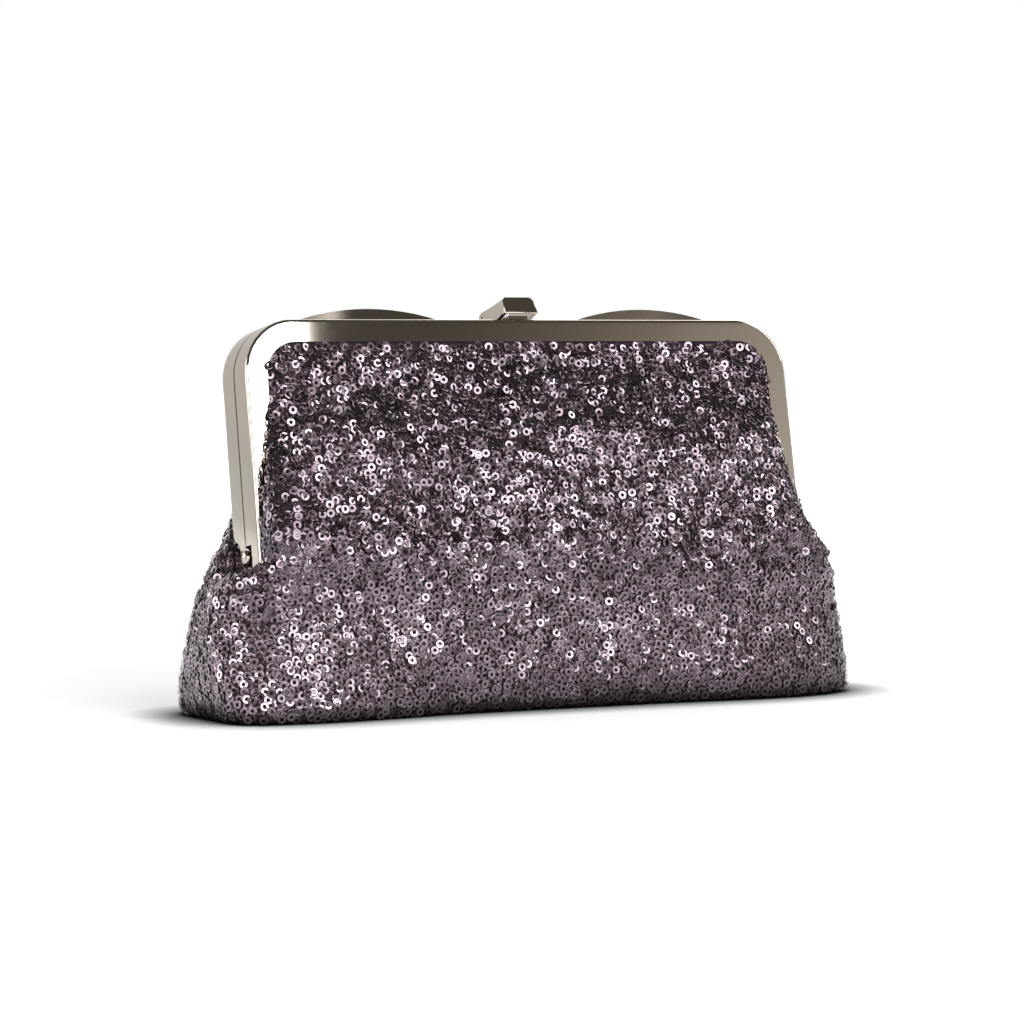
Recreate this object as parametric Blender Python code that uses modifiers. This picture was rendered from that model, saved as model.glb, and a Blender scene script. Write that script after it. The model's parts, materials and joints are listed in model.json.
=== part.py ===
"""Sequinned evening clutch with a riveted, hinged metal frame and a lift-lever clasp.

The clutch stands on a table at z = 0, its front towards -Y and its width along X.
The hinge axis runs along X through the two rivets, and the closed frame leans back on it.
Frame pieces are modelled upright around that axis: x across, y the depth (front is
negative) and z the height above the axis. An empty on the axis then leans them back.
"""

import math

import bmesh
import bpy
from mathutils import Matrix, Vector

MM = 0.001

# Allowances shared by all pieces
GAP = 0.3 * MM
PIN_GAP = 0.2 * MM
OVERRUN = 2.0 * MM
MERGE = 0.01 * MM

# Frame: two inverted U channels, seen from the front
FRAME_WIDTH = 205.0 * MM
FRAME_TOP = 75.6 * MM
FRAME_FOOT = 3.4 * MM
FRAME_CORNER = 18.0 * MM
LEG_FLARE = math.radians(0.58)
FRAME_LEAN = math.radians(10.0)
HALF_DEPTH = 9.25 * MM
SHEET = 0.8 * MM
BEND = 1.1 * MM
FACE_STRIP = 7.4 * MM
INNER_STRIP = 6.2 * MM
CHANNEL = 4.4 * MM

# Place of the hinge axis over the table
HINGE_HEIGHT = 49.5 * MM
HINGE_SETBACK = 3.1 * MM

# Finger humps along the top of the rear half
HUMP_SPACING = 103.4 * MM
HUMP_CHORD = 59.4 * MM
HUMP_RISE = 5.0 * MM

# Hinge lugs, washers and rivets
LUG_RADIUS = 3.4 * MM
LUG_ARM = 14.0 * MM
WASHER_RADIUS = 3.1 * MM
WASHER_THICK = 0.5 * MM
RIVET_SHANK = 1.0 * MM
RIVET_HEAD = 2.8 * MM
RIVET_DOME = 1.3 * MM
RIVET_TAIL = 2.0 * MM
RIVET_TAIL_THICK = 0.8 * MM
FLANGE_END = 6.0 * MM

# Lift lever: side profile over the top of the rails
LEVER_WIDTH = 12.4 * MM
LEVER_TOP_WIDTH = 10.8 * MM
LEVER_NOSE_TOP = 7.05 * MM
LEVER_NOSE_LIP = 1.9 * MM
LEVER_NOSE_REACH = 9.3 * MM
LEVER_NOSE_RAKE = 2.1 * MM
LEVER_LIP_DEPTH = 1.6 * MM
LEVER_KNEE = 3.5 * MM
LEVER_TAIL_RADIUS = 1.6 * MM
LEVER_WALL = 0.9 * MM
LEVER_CHEEK_INNER = 4.4 * MM
LEVER_SLOT_START = 4.4 * MM
LEVER_ROUND = 0.7 * MM
AXLE_SETBACK = 6.5 * MM
AXLE_RISE = 2.3 * MM
AXLE_RADIUS = 0.55 * MM

# Bracket that carries the lever, its coil spring and its rivets
BRACKET_HALF_WIDTH = 4.1 * MM
BRACKET_SHEET = 0.6 * MM
BRACKET_FRONT = 0.8 * MM
BRACKET_REAR = 8.4 * MM
EAR_RADIUS = 1.3 * MM
SPRING_WIRE = 0.3 * MM
SPRING_RADIUS = 0.95 * MM
SPRING_LENGTH = 4.6 * MM
SPRING_TURNS = 5
SPRING_LEG = 3.4 * MM

# Catch on the front half, under the nose of the lever
CATCH_WIDTH = 7.2 * MM
CATCH_SHEET = 0.7 * MM
CATCH_FRONT = 7.0 * MM
CATCH_REAR = 0.7 * MM
CATCH_RIDGE = 1.5 * MM
CATCH_RIDGE_DEPTH = 1.1 * MM

# Small rivets of bracket and catch
PLATE_RIVET_SHANK = 0.5 * MM
PLATE_RIVET_HEAD = 0.9 * MM
PLATE_RIVET_HEAD_THICK = 0.4 * MM
PLATE_RIVET_SPREAD = 2.3 * MM
PLATE_RIVET_SETBACK = 1.8 * MM

# Paper cord glued into each channel beside the cloth
CORD_RADIUS = 0.8 * MM

# Sewn layers
CLOTH = 1.0 * MM
LINING = 0.6 * MM
PADDING = 1.5 * MM
BOARD = 1.2 * MM
LAYER_STEP = 0.5 * MM

# Pouch, measured over the cloth
BASE_WIDTH = 249.0 * MM
BASE_DEPTH = 58.0 * MM
SHOULDER_DROP = 15.0 * MM
FRONT_DRAW = 12.0 * MM
REAR_DRAW = 4.5 * MM
SHOULDER_POWER = 2.85
FRONT_POWER = 1.4
REAR_POWER = 1.5
RING_POWER = 3.0
BASE_EDGE = 4.0 * MM
TUB_RIM = 33.0 * MM
BELLY_KNEE = 40.0 * MM
SEAM_GAP = 0.4 * MM
KNEE_SEAM_GAP = 1.8 * MM
PANEL_END = 1.0 * MM
PANEL_BULGE = 12.0 * MM
BULGE_START = 9.0 * MM
BULGE_SPAN_TOP = 26.0 * MM
BULGE_SPAN_FOOT = 14.0 * MM
LINING_LAG_SHARE = 2.0
BULGE_POWER = 1.1
BOARD_INSET = 4.0 * MM

# Mesh counts and angles
SMOOTH_ANGLE = math.radians(35)
ROUND_ANGLE = math.radians(40)
ROUND_STEPS = 3
WIRE_ROUNDNESS = 1
ARC_STEPS = 9
HUMP_STEPS = 14
BEND_STEPS = 3
RING_POINTS = 48
TURN_STEPS = 24
COIL_STEPS = 8
COLUMN_SHARES = (1.0, 0.935, 0.86, 0.74, 0.58, 0.4, 0.2, 0.0)
PANEL_ROW_SHARES = (0.0, 0.15, 0.31, 0.47, 0.63, 0.765, 0.845, 0.9, 0.95, 1.0)
TUB_ROW_SHARES = (0.2, 0.45, 0.72, 1.0)

# Worked out from the sizes above
FRAME_HALF = FRAME_WIDTH / 2
CORNER_HEIGHT = FRAME_TOP - FRAME_CORNER
PARTING = GAP / 2
FACE_INNER = HALF_DEPTH - SHEET
FLANGE_OUTER = FACE_INNER - CHANNEL
FLANGE_INNER = FLANGE_OUTER - SHEET
CLOTH_FACE = FACE_INNER - GAP
LINING_FACE = CLOTH_FACE - CLOTH - GAP
CORD_DEPTH = LINING_FACE - LINING - GAP - CORD_RADIUS
CHANNEL_EDGE = SHEET + GAP
CORNER_CENTRE = FRAME_HALF - math.tan(LEG_FLARE) * CORNER_HEIGHT - FRAME_CORNER / math.cos(LEG_FLARE)
HUMP_RADIUS = ((HUMP_CHORD / 2) ** 2 + HUMP_RISE ** 2) / (2 * HUMP_RISE)
INNER_LUG_FACE = FRAME_HALF - SHEET - GAP - WASHER_THICK - GAP
LEVER_BOTTOM = AXLE_RISE - LEVER_TAIL_RADIUS


def clear_scene():
    """Remove whatever the scene holds."""
    for item in list(bpy.data.objects):
        bpy.data.objects.remove(item, do_unlink=True)


def make_collection(name):
    collection = bpy.data.collections.new(name)
    bpy.context.scene.collection.children.link(collection)
    return collection


def make_material(name, colour, roughness, metallic):
    material = bpy.data.materials.new(name)
    material.use_nodes = True
    shader = material.node_tree.nodes["Principled BSDF"]
    shader.inputs["Base Color"].default_value = (*colour, 1.0)
    shader.inputs["Roughness"].default_value = roughness
    shader.inputs["Metallic"].default_value = metallic
    material.diffuse_color = (*colour, 1.0)
    return material


class Workshop:
    """The collections and materials that the pieces go into."""

    def __init__(self):
        self.parts = make_collection("sequin_clutch")
        self.cutters = make_collection("cutters")
        self.nickel = make_material("polished_nickel", (0.62, 0.60, 0.57), 0.12, 1.0)
        self.brass = make_material("brass", (0.70, 0.55, 0.33), 0.25, 1.0)
        self.spring_steel = make_material("spring_steel", (0.40, 0.40, 0.42), 0.3, 1.0)
        self.sequins = make_material("mauve_sequin_cloth", (0.27, 0.21, 0.27), 0.35, 0.5)
        self.satin = make_material("plum_satin", (0.10, 0.07, 0.10), 0.45, 0.0)
        self.felt = make_material("grey_felt", (0.35, 0.34, 0.35), 0.95, 0.0)
        self.paper = make_material("paper_cord", (0.62, 0.54, 0.42), 0.9, 0.0)
        self.board = make_material("grey_board", (0.42, 0.40, 0.38), 0.9, 0.0)

    def add(self, name, mesh, material, parent=None, location=(0, 0, 0)):
        """Place a mesh as a named part, smooth where its faces nearly agree."""
        part = bpy.data.objects.new(name, mesh)
        mesh.materials.clear()
        mesh.materials.append(material)
        mesh.shade_smooth()
        mesh.set_sharp_from_angle(angle=SMOOTH_ANGLE)
        self.parts.objects.link(part)
        part.parent = parent
        part.location = location
        return part

    def add_cutter(self, name, mesh, parent=None, location=(0, 0, 0)):
        cutter = bpy.data.objects.new(name, mesh)
        self.cutters.objects.link(cutter)
        cutter.parent = parent
        cutter.location = location
        cutter.hide_render = True
        cutter.display_type = "WIRE"
        return cutter


def add_empty(workshop, name, parent, location, rotation):
    empty = bpy.data.objects.new(name, None)
    workshop.parts.objects.link(empty)
    empty.parent = parent
    empty.location = location
    empty.rotation_euler = rotation
    empty.empty_display_size = FRAME_CORNER
    return empty


def finish_mesh(builder, name):
    """Turn a bmesh into a mesh whose faces point outwards."""
    bmesh.ops.recalc_face_normals(builder, faces=builder.faces)
    if builder.calc_volume(signed=True) < 0:
        bmesh.ops.reverse_faces(builder, faces=builder.faces)
    mesh = bpy.data.meshes.new(name)
    builder.to_mesh(mesh)
    builder.free()
    return mesh


def box_mesh(name, low, high):
    """A box between two corners."""
    builder = bmesh.new()
    bmesh.ops.create_cube(builder, size=1.0)
    low = Vector(low)
    high = Vector(high)
    size = high - low
    centre = (low + high) / 2
    for vertex in builder.verts:
        vertex.co = Vector([vertex.co[i] * size[i] + centre[i] for i in range(3)])
    return finish_mesh(builder, name)


def rod_mesh(name, radius, start, end, steps=TURN_STEPS):
    """A cylinder along X from start to end."""
    builder = bmesh.new()
    bmesh.ops.create_cone(builder, cap_ends=True, segments=steps, radius1=radius, radius2=radius,
                          depth=end - start)
    turn = Matrix.Translation(((start + end) / 2, 0, 0)) @ Matrix.Rotation(math.pi / 2, 4, "Y")
    bmesh.ops.transform(builder, matrix=turn, verts=builder.verts)
    return finish_mesh(builder, name)


def outline_mesh(name, points, start, end):
    """A flat outline in depth and height, extruded along X from start to end."""
    curve = bpy.data.curves.new(name, "CURVE")
    curve.dimensions = "2D"
    curve.fill_mode = "BOTH"
    curve.extrude = (end - start) / 2
    spline = curve.splines.new("POLY")
    spline.points.add(len(points) - 1)
    for point, (depth, height) in zip(spline.points, points):
        point.co = (depth, height, 0, 1)
    spline.use_cyclic_u = True
    stand = Matrix(((0, 0, 1, (start + end) / 2), (1, 0, 0, 0), (0, 1, 0, 0), (0, 0, 0, 1)))
    return mesh_from_curve(name, curve, stand)


def mesh_from_curve(name, curve, placing):
    """The closed mesh of a curve, with its caps welded on."""
    holder = bpy.data.objects.new(name, curve)
    bpy.context.scene.collection.objects.link(holder)
    bpy.context.view_layer.update()
    graph = bpy.context.evaluated_depsgraph_get()
    mesh = bpy.data.meshes.new_from_object(holder.evaluated_get(graph))
    builder = bmesh.new()
    builder.from_mesh(mesh)
    bmesh.ops.remove_doubles(builder, verts=builder.verts, dist=MERGE)
    bmesh.ops.transform(builder, matrix=placing, verts=builder.verts)
    bpy.data.objects.remove(holder, do_unlink=True)
    bpy.data.meshes.remove(mesh)
    return finish_mesh(builder, name)


def wire_mesh(name, points, radius):
    """A round wire through the points, with its ends capped."""
    curve = bpy.data.curves.new(name, "CURVE")
    curve.dimensions = "3D"
    curve.bevel_depth = radius
    curve.bevel_resolution = WIRE_ROUNDNESS
    curve.use_fill_caps = True
    spline = curve.splines.new("POLY")
    spline.points.add(len(points) - 1)
    for point, place in zip(spline.points, points):
        point.co = (*place, 1)
    return mesh_from_curve(name, curve, Matrix.Identity(4))


def turned_mesh(name, profile, closed=False):
    """A profile of radius and height, top to bottom; a Screw modifier turns it."""
    mesh = bpy.data.meshes.new(name)
    vertices = [(radius, 0, height) for radius, height in profile]
    edges = [(i, i + 1) for i in range(len(profile) - 1)]
    if closed:
        edges.append((len(profile) - 1, 0))
    mesh.from_pydata(vertices, edges, [])
    return mesh


def add_screw(part, steps=TURN_STEPS):
    screw = part.modifiers.new("turn", "SCREW")
    screw.axis = "Z"
    screw.steps = steps
    screw.render_steps = steps
    screw.use_merge_vertices = True
    screw.merge_threshold = MERGE
    screw.use_smooth_shade = True
    return screw


def add_boolean(part, cutter, operation):
    step = part.modifiers.new(cutter.name, "BOOLEAN")
    step.operation = operation
    step.object = cutter
    step.solver = "EXACT"
    return step


def add_solidify(part, thickness):
    """Give an outer surface its thickness on the inner side."""
    shell = part.modifiers.new("thickness", "SOLIDIFY")
    shell.thickness = thickness
    shell.offset = -1.0
    shell.use_even_offset = True
    return shell


# Frame outline, in x and height

def leg_half(height):
    """Half the outer width of the frame at a height over the hinge axis."""
    return FRAME_HALF - math.tan(LEG_FLARE) * height


def hump_height(x):
    """How far the rear half rises over its rail at x."""
    away = abs(abs(x) - HUMP_SPACING / 2)
    if away >= HUMP_CHORD / 2:
        return 0.0
    return math.sqrt(HUMP_RADIUS ** 2 - away ** 2) - (HUMP_RADIUS - HUMP_RISE)


def frame_stations(foot):
    """Outer outline from the left foot to the right foot, each with its inward direction."""
    left = []
    for height in (foot, CORNER_HEIGHT / 2):
        inward = Vector((math.cos(LEG_FLARE), 0, -math.sin(LEG_FLARE)))
        left.append((Vector((-leg_half(height), 0, height)), inward))
    for step in range(ARC_STEPS + 1):
        turn = math.pi - LEG_FLARE - (math.pi / 2 - LEG_FLARE) * step / ARC_STEPS
        outward = Vector((math.cos(turn), 0, math.sin(turn)))
        centre = Vector((-CORNER_CENTRE, 0, CORNER_HEIGHT))
        left.append((centre + outward * FRAME_CORNER, -outward))
    first_hump = HUMP_SPACING / 2 + HUMP_CHORD / 2
    for step in range(HUMP_STEPS + 1):
        x = -first_hump + HUMP_CHORD * step / HUMP_STEPS
        left.append((Vector((x, 0, FRAME_TOP)), Vector((0, 0, -1))))
    right = []
    for place, inward in reversed(left):
        right.append((Vector((-place.x, 0, place.z)), Vector((-inward.x, 0, inward.z))))
    return left + right


def half_section():
    """Section of one half as inward distance and depth, outer web first."""
    points = [(0.0, PARTING)]
    for step in range(BEND_STEPS + 1):
        turn = math.pi / 2 * step / BEND_STEPS
        inward = BEND * (1 - math.cos(turn))
        depth = HALF_DEPTH - BEND * (1 - math.sin(turn))
        points.append((inward, depth))
    points += [(FACE_STRIP, HALF_DEPTH), (FACE_STRIP, FACE_INNER)]
    points += [(SHEET, FACE_INNER), (SHEET, FLANGE_OUTER)]
    points += [(INNER_STRIP, FLANGE_OUTER), (INNER_STRIP, FLANGE_INNER)]
    points += [(SHEET, FLANGE_INNER), (SHEET, PARTING)]
    return points


def frame_mesh(name, side, with_humps):
    """Loft the section along the outline; the outer web follows the humps."""
    builder = bmesh.new()
    section = half_section()
    rings = []
    for place, inward in frame_stations(-FRAME_FOOT):
        rise = hump_height(place.x) if with_humps else 0.0
        on_rail = abs(place.z - FRAME_TOP) < MERGE
        ring = []
        for distance, depth in section:
            shift = rise if on_rail and distance <= BEND else 0.0
            spot = place + inward * (distance - shift)
            spot.y = side * depth
            ring.append(builder.verts.new(spot))
        rings.append(ring)
    count = len(section)
    for ring, following in zip(rings, rings[1:]):
        for i in range(count):
            j = (i + 1) % count
            builder.faces.new((ring[i], ring[j], following[j], following[i]))
    builder.faces.new(rings[0])
    builder.faces.new(rings[-1])
    return finish_mesh(builder, name)


def cut_flange_ends(workshop, part, side, parent):
    """End the inner flange above the hinge, on both legs."""
    for hand, sign in (("left", -1), ("right", 1)):
        inner = sign * (FRAME_HALF - FACE_STRIP - OVERRUN)
        outer = sign * (FRAME_HALF - SHEET - math.sin(LEG_FLARE) * FLANGE_END)
        near = side * (FLANGE_INNER - SHEET)
        far = side * (FLANGE_OUTER + SHEET)
        low = (min(inner, outer), min(near, far), -FRAME_FOOT - OVERRUN)
        high = (max(inner, outer), max(near, far), FLANGE_END)
        name = part.name + "_" + hand + "_flange_end"
        cutter = workshop.add_cutter(name, box_mesh(name, low, high), parent)
        add_boolean(part, cutter, "DIFFERENCE")


def make_front_frame(workshop, parent):
    part = workshop.add("front_frame", frame_mesh("front_frame", -1, False), workshop.nickel, parent)
    cut_flange_ends(workshop, part, -1, parent)
    notch = LUG_RADIUS + GAP * 2
    for hand, sign in (("left", -1), ("right", 1)):
        # Room in the side wall for the lug of the rear half
        inner = sign * (FRAME_HALF - SHEET - GAP)
        outer = sign * (FRAME_HALF + OVERRUN)
        low = (min(inner, outer), -notch, -FRAME_FOOT - OVERRUN)
        high = (max(inner, outer), OVERRUN, notch)
        name = "front_" + hand + "_notch"
        cutter = workshop.add_cutter(name, box_mesh(name, low, high), parent)
        add_boolean(part, cutter, "DIFFERENCE")
        # Lug on an arm from the inner flange
        points = []
        for step in range(TURN_STEPS // 2 + 1):
            turn = math.pi + math.pi * step / (TURN_STEPS // 2)
            points.append((LUG_RADIUS * math.cos(turn), LUG_RADIUS * math.sin(turn)))
        points.append((LUG_RADIUS, 0.0))
        for step in range(1, TURN_STEPS // 4 + 1):
            turn = math.pi / 2 * step / (TURN_STEPS // 4)
            points.append((LUG_RADIUS * math.cos(turn), LUG_RADIUS * math.sin(turn)))
        points.append((-PARTING * 2, LUG_RADIUS))
        points.append((-PARTING * 2, LUG_ARM - LUG_RADIUS))
        points.append((-FLANGE_INNER - SHEET / 2, LUG_ARM))
        points.append((-FLANGE_INNER - SHEET / 2, LUG_RADIUS))
        faces = sorted((sign * INNER_LUG_FACE, sign * (INNER_LUG_FACE - SHEET)))
        name = "front_" + hand + "_lug"
        lug = workshop.add_cutter(name, outline_mesh(name, points, *faces), parent)
        add_boolean(part, lug, "UNION")
        bore = rod_mesh(name + "_bore", RIVET_SHANK + PIN_GAP, faces[0] - OVERRUN, faces[1] + OVERRUN)
        add_boolean(part, workshop.add_cutter(name + "_bore", bore, parent), "DIFFERENCE")
    cut_plate_holes(workshop, part, -1, parent)
    return part


def make_rear_frame(workshop, parent):
    part = workshop.add("rear_frame", frame_mesh("rear_frame", 1, True), workshop.nickel, parent)
    cut_flange_ends(workshop, part, 1, parent)
    for hand, sign in (("left", -1), ("right", 1)):
        faces = sorted((sign * FRAME_HALF, sign * (FRAME_HALF - SHEET)))
        name = "rear_" + hand + "_lug"
        lug = workshop.add_cutter(name, rod_mesh(name, LUG_RADIUS, *faces), parent)
        add_boolean(part, lug, "UNION")
        bore = rod_mesh(name + "_bore", RIVET_SHANK + PIN_GAP, faces[0] - OVERRUN, faces[1] + OVERRUN)
        add_boolean(part, workshop.add_cutter(name + "_bore", bore, parent), "DIFFERENCE")
    cut_plate_holes(workshop, part, 1, parent)
    return part


def plate_rivet_places(side):
    """Where the two small rivets of the catch or the bracket stand on the rail."""
    return [(sign * PLATE_RIVET_SPREAD, side * PLATE_RIVET_SETBACK) for sign in (-1, 1)]


def upright_rod(name, radius, low, high):
    builder = bmesh.new()
    bmesh.ops.create_cone(builder, cap_ends=True, segments=TURN_STEPS // 2, radius1=radius,
                          radius2=radius, depth=high - low)
    bmesh.ops.translate(builder, verts=builder.verts, vec=(0, 0, (low + high) / 2))
    return finish_mesh(builder, name)


def cut_plate_holes(workshop, part, side, parent):
    """Holes through the top of the rail, or through a plate on it, for the small rivets."""
    for number, (x, depth) in enumerate(plate_rivet_places(side)):
        name = part.name + "_rivet_hole_" + str(number)
        hole = upright_rod(name, PLATE_RIVET_SHANK + PIN_GAP, FRAME_TOP - OVERRUN, FRAME_TOP + OVERRUN)
        add_boolean(part, workshop.add_cutter(name, hole, parent, (x, depth, 0)), "DIFFERENCE")


# Hinges

def make_hinge(workshop, hand, sign, parent):
    """One rivet and the washer between the two lugs."""
    outer = FRAME_HALF + GAP
    inner = INNER_LUG_FACE - SHEET - GAP
    profile = []
    dome_steps = TURN_STEPS // 4
    for step in range(dome_steps + 1):
        turn = math.pi / 2 * step / dome_steps
        profile.append((RIVET_HEAD * math.sin(turn), outer + RIVET_DOME * math.cos(turn)))
    profile.append((RIVET_SHANK, outer))
    profile.append((RIVET_SHANK, inner))
    profile.append((RIVET_TAIL, inner))
    profile.append((RIVET_TAIL, inner - RIVET_TAIL_THICK))
    profile.append((0.0, inner - RIVET_TAIL_THICK))
    rivet = workshop.add(hand + "_hinge_rivet", turned_mesh(hand + "_hinge_rivet", profile),
                         workshop.nickel, parent)
    rivet.rotation_euler = (0, sign * math.pi / 2, 0)
    add_screw(rivet)
    top = FRAME_HALF - SHEET - GAP
    bore = RIVET_SHANK + PIN_GAP
    ring = [(bore, top), (WASHER_RADIUS, top), (WASHER_RADIUS, top - WASHER_THICK),
            (bore, top - WASHER_THICK)]
    washer = workshop.add(hand + "_hinge_washer", turned_mesh(hand + "_hinge_washer", ring, True),
                          workshop.brass, parent)
    washer.rotation_euler = (0, sign * math.pi / 2, 0)
    add_screw(washer)


# Clasp, with heights over the top of the rails

def roof_height(depth):
    """Height of the sloping top of the lever at a depth."""
    nose = -LEVER_NOSE_REACH + LEVER_NOSE_RAKE
    fall = LEVER_NOSE_TOP - AXLE_RISE - LEVER_TAIL_RADIUS
    return LEVER_NOSE_TOP - fall * (depth - nose) / (AXLE_SETBACK - nose)


def lever_outline():
    nose = -LEVER_NOSE_REACH
    points = [(nose, LEVER_NOSE_LIP), (nose + LEVER_LIP_DEPTH, LEVER_NOSE_LIP)]
    points.append((-LEVER_KNEE, LEVER_BOTTOM))
    for step in range(ARC_STEPS + 1):
        turn = -math.pi / 2 + math.pi * step / ARC_STEPS
        depth = AXLE_SETBACK + LEVER_TAIL_RADIUS * math.cos(turn)
        points.append((depth, AXLE_RISE + LEVER_TAIL_RADIUS * math.sin(turn)))
    points.append((nose + LEVER_NOSE_RAKE, LEVER_NOSE_TOP))
    return points


def from_axle(points):
    """Move outline points from the rail's top to the axle's centre."""
    return [(depth - AXLE_SETBACK, height - AXLE_RISE) for depth, height in points]


def make_lever(workshop, parent):
    mesh = outline_mesh("clasp_lever", from_axle(lever_outline()), -LEVER_WIDTH / 2, LEVER_WIDTH / 2)
    narrowing = (1 - LEVER_TOP_WIDTH / LEVER_WIDTH) / (LEVER_NOSE_TOP - LEVER_BOTTOM)
    for vertex in mesh.vertices:
        vertex.co.x *= 1 - narrowing * (vertex.co.z + AXLE_RISE - LEVER_BOTTOM)
    lever = workshop.add("clasp_lever", mesh, workshop.nickel, parent)
    edge = lever.modifiers.new("rounding", "BEVEL")
    edge.width = LEVER_ROUND
    edge.segments = ROUND_STEPS
    edge.limit_method = "ANGLE"
    edge.angle_limit = ROUND_ANGLE
    nose = -LEVER_NOSE_REACH + LEVER_WALL
    rake = LEVER_NOSE_RAKE + LEVER_WALL / 2
    hollow = [(nose + LEVER_WALL / 2, -OVERRUN), (nose + LEVER_WALL / 2, LEVER_NOSE_LIP)]
    hollow.append((nose + rake, roof_height(nose + rake) - LEVER_WALL))
    hollow.append((LEVER_SLOT_START, roof_height(LEVER_SLOT_START) - LEVER_WALL))
    hollow.append((LEVER_SLOT_START, LEVER_NOSE_TOP))
    hollow.append((AXLE_SETBACK + LEVER_TAIL_RADIUS + OVERRUN, LEVER_NOSE_TOP))
    hollow.append((AXLE_SETBACK + LEVER_TAIL_RADIUS + OVERRUN, -OVERRUN))
    cutter = outline_mesh("lever_hollow", from_axle(hollow), -LEVER_CHEEK_INNER, LEVER_CHEEK_INNER)
    add_boolean(lever, workshop.add_cutter("lever_hollow", cutter, parent), "DIFFERENCE")
    bore = rod_mesh("lever_bore", AXLE_RADIUS + PIN_GAP, -LEVER_WIDTH, LEVER_WIDTH)
    add_boolean(lever, workshop.add_cutter("lever_bore", bore, parent), "DIFFERENCE")


def make_bracket(workshop, parent):
    """A base on the rear rail with an ear at each side, the axle and its coil spring."""
    axle_place = (0, AXLE_SETBACK, FRAME_TOP + AXLE_RISE)
    low = (-BRACKET_HALF_WIDTH, BRACKET_FRONT, FRAME_TOP + GAP)
    high = (BRACKET_HALF_WIDTH, BRACKET_REAR, FRAME_TOP + GAP + BRACKET_SHEET)
    bracket = workshop.add("clasp_bracket", box_mesh("clasp_bracket", low, high), workshop.nickel, parent)
    base = GAP + BRACKET_SHEET / 2 - AXLE_RISE
    points = [(-EAR_RADIUS, base), (EAR_RADIUS, base)]
    for step in range(ARC_STEPS + 1):
        turn = math.pi * step / ARC_STEPS
        points.append((EAR_RADIUS * math.cos(turn), EAR_RADIUS * math.sin(turn)))
    for hand, sign in (("left", -1), ("right", 1)):
        faces = sorted((sign * BRACKET_HALF_WIDTH, sign * (BRACKET_HALF_WIDTH - BRACKET_SHEET)))
        name = "bracket_" + hand + "_ear"
        ear = workshop.add_cutter(name, outline_mesh(name, points, *faces), parent, axle_place)
        add_boolean(bracket, ear, "UNION")
    bore = rod_mesh("bracket_bore", AXLE_RADIUS + PIN_GAP, -LEVER_WIDTH, LEVER_WIDTH)
    add_boolean(bracket, workshop.add_cutter("bracket_bore", bore, parent, axle_place), "DIFFERENCE")
    cut_plate_holes(workshop, bracket, 1, parent)

    reach = LEVER_WIDTH / 2 - PIN_GAP
    axle = rod_mesh("clasp_axle", AXLE_RADIUS, -reach, reach)
    workshop.add("clasp_axle", axle, workshop.nickel, parent, axle_place)

    wire = []
    half = SPRING_LENGTH / 2
    wire.append((-half, -SPRING_LEG, -SPRING_RADIUS))
    steps = SPRING_TURNS * COIL_STEPS + COIL_STEPS // 2
    for step in range(steps + 1):
        turn = -math.pi / 2 + 2 * math.pi * step / COIL_STEPS
        x = -half + SPRING_LENGTH * step / steps
        wire.append((x, SPRING_RADIUS * math.cos(turn), SPRING_RADIUS * math.sin(turn)))
    wire.append((half, -SPRING_LEG, SPRING_RADIUS))
    spring = wire_mesh("clasp_spring", wire, SPRING_WIRE / 2)
    workshop.add("clasp_spring", spring, workshop.spring_steel, parent, axle_place)


def make_catch(workshop, parent):
    """A plate on the front rail with a low ridge under the nose of the lever."""
    bottom = FRAME_TOP + GAP
    half = CATCH_WIDTH / 2
    top = bottom + CATCH_SHEET
    points = [(-CATCH_FRONT, bottom), (-CATCH_REAR, bottom), (-CATCH_REAR, top)]
    ridge = -CATCH_FRONT + CATCH_RIDGE_DEPTH
    points += [(ridge, top), (ridge - CATCH_RIDGE_DEPTH / 3, FRAME_TOP + CATCH_RIDGE)]
    points += [(-CATCH_FRONT, FRAME_TOP + CATCH_RIDGE)]
    catch = workshop.add("clasp_catch", outline_mesh("clasp_catch", points, -half, half),
                         workshop.nickel, parent)
    cut_plate_holes(workshop, catch, -1, parent)


def make_plate_rivets(workshop, name, side, plate, parent):
    """Two small rivets that hold a plate on the rail."""
    under = FRAME_TOP - SHEET - GAP
    over = FRAME_TOP + GAP + plate + PIN_GAP
    profile = [(0.0, over + PLATE_RIVET_HEAD_THICK), (PLATE_RIVET_HEAD, over + PLATE_RIVET_HEAD_THICK)]
    profile += [(PLATE_RIVET_HEAD, over), (PLATE_RIVET_SHANK, over)]
    profile += [(PLATE_RIVET_SHANK, under), (PLATE_RIVET_HEAD, under)]
    profile += [(PLATE_RIVET_HEAD, under - PLATE_RIVET_HEAD_THICK), (0.0, under - PLATE_RIVET_HEAD_THICK)]
    for hand, (x, depth) in zip(("left", "right"), plate_rivet_places(side)):
        part_name = name + "_" + hand
        rivet = workshop.add(part_name, turned_mesh(part_name, profile), workshop.nickel, parent,
                             (x, depth, 0))
        add_screw(rivet, TURN_STEPS // 2)


def make_paper_cord(workshop, name, side, parent):
    """The cord that wedges the cloth in the channel, round the whole frame."""
    points = []
    for place, inward in frame_stations(FLANGE_END + SHEET):
        spot = place + inward * (CHANNEL_EDGE + CORD_RADIUS)
        spot.y = side * CORD_DEPTH
        points.append(spot)
    workshop.add(name, wire_mesh(name, points, CORD_RADIUS), workshop.paper, parent)


# Cloth above the hinge, which is glued into the frame

def outline_distance(x, height):
    """Distance of a place in the frame's opening from the frame's outer outline."""
    if abs(x) > CORNER_CENTRE and height > CORNER_HEIGHT:
        return FRAME_CORNER - math.hypot(abs(x) - CORNER_CENTRE, height - CORNER_HEIGHT)
    return min(leg_half(height) - abs(x), FRAME_TOP - height)


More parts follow.
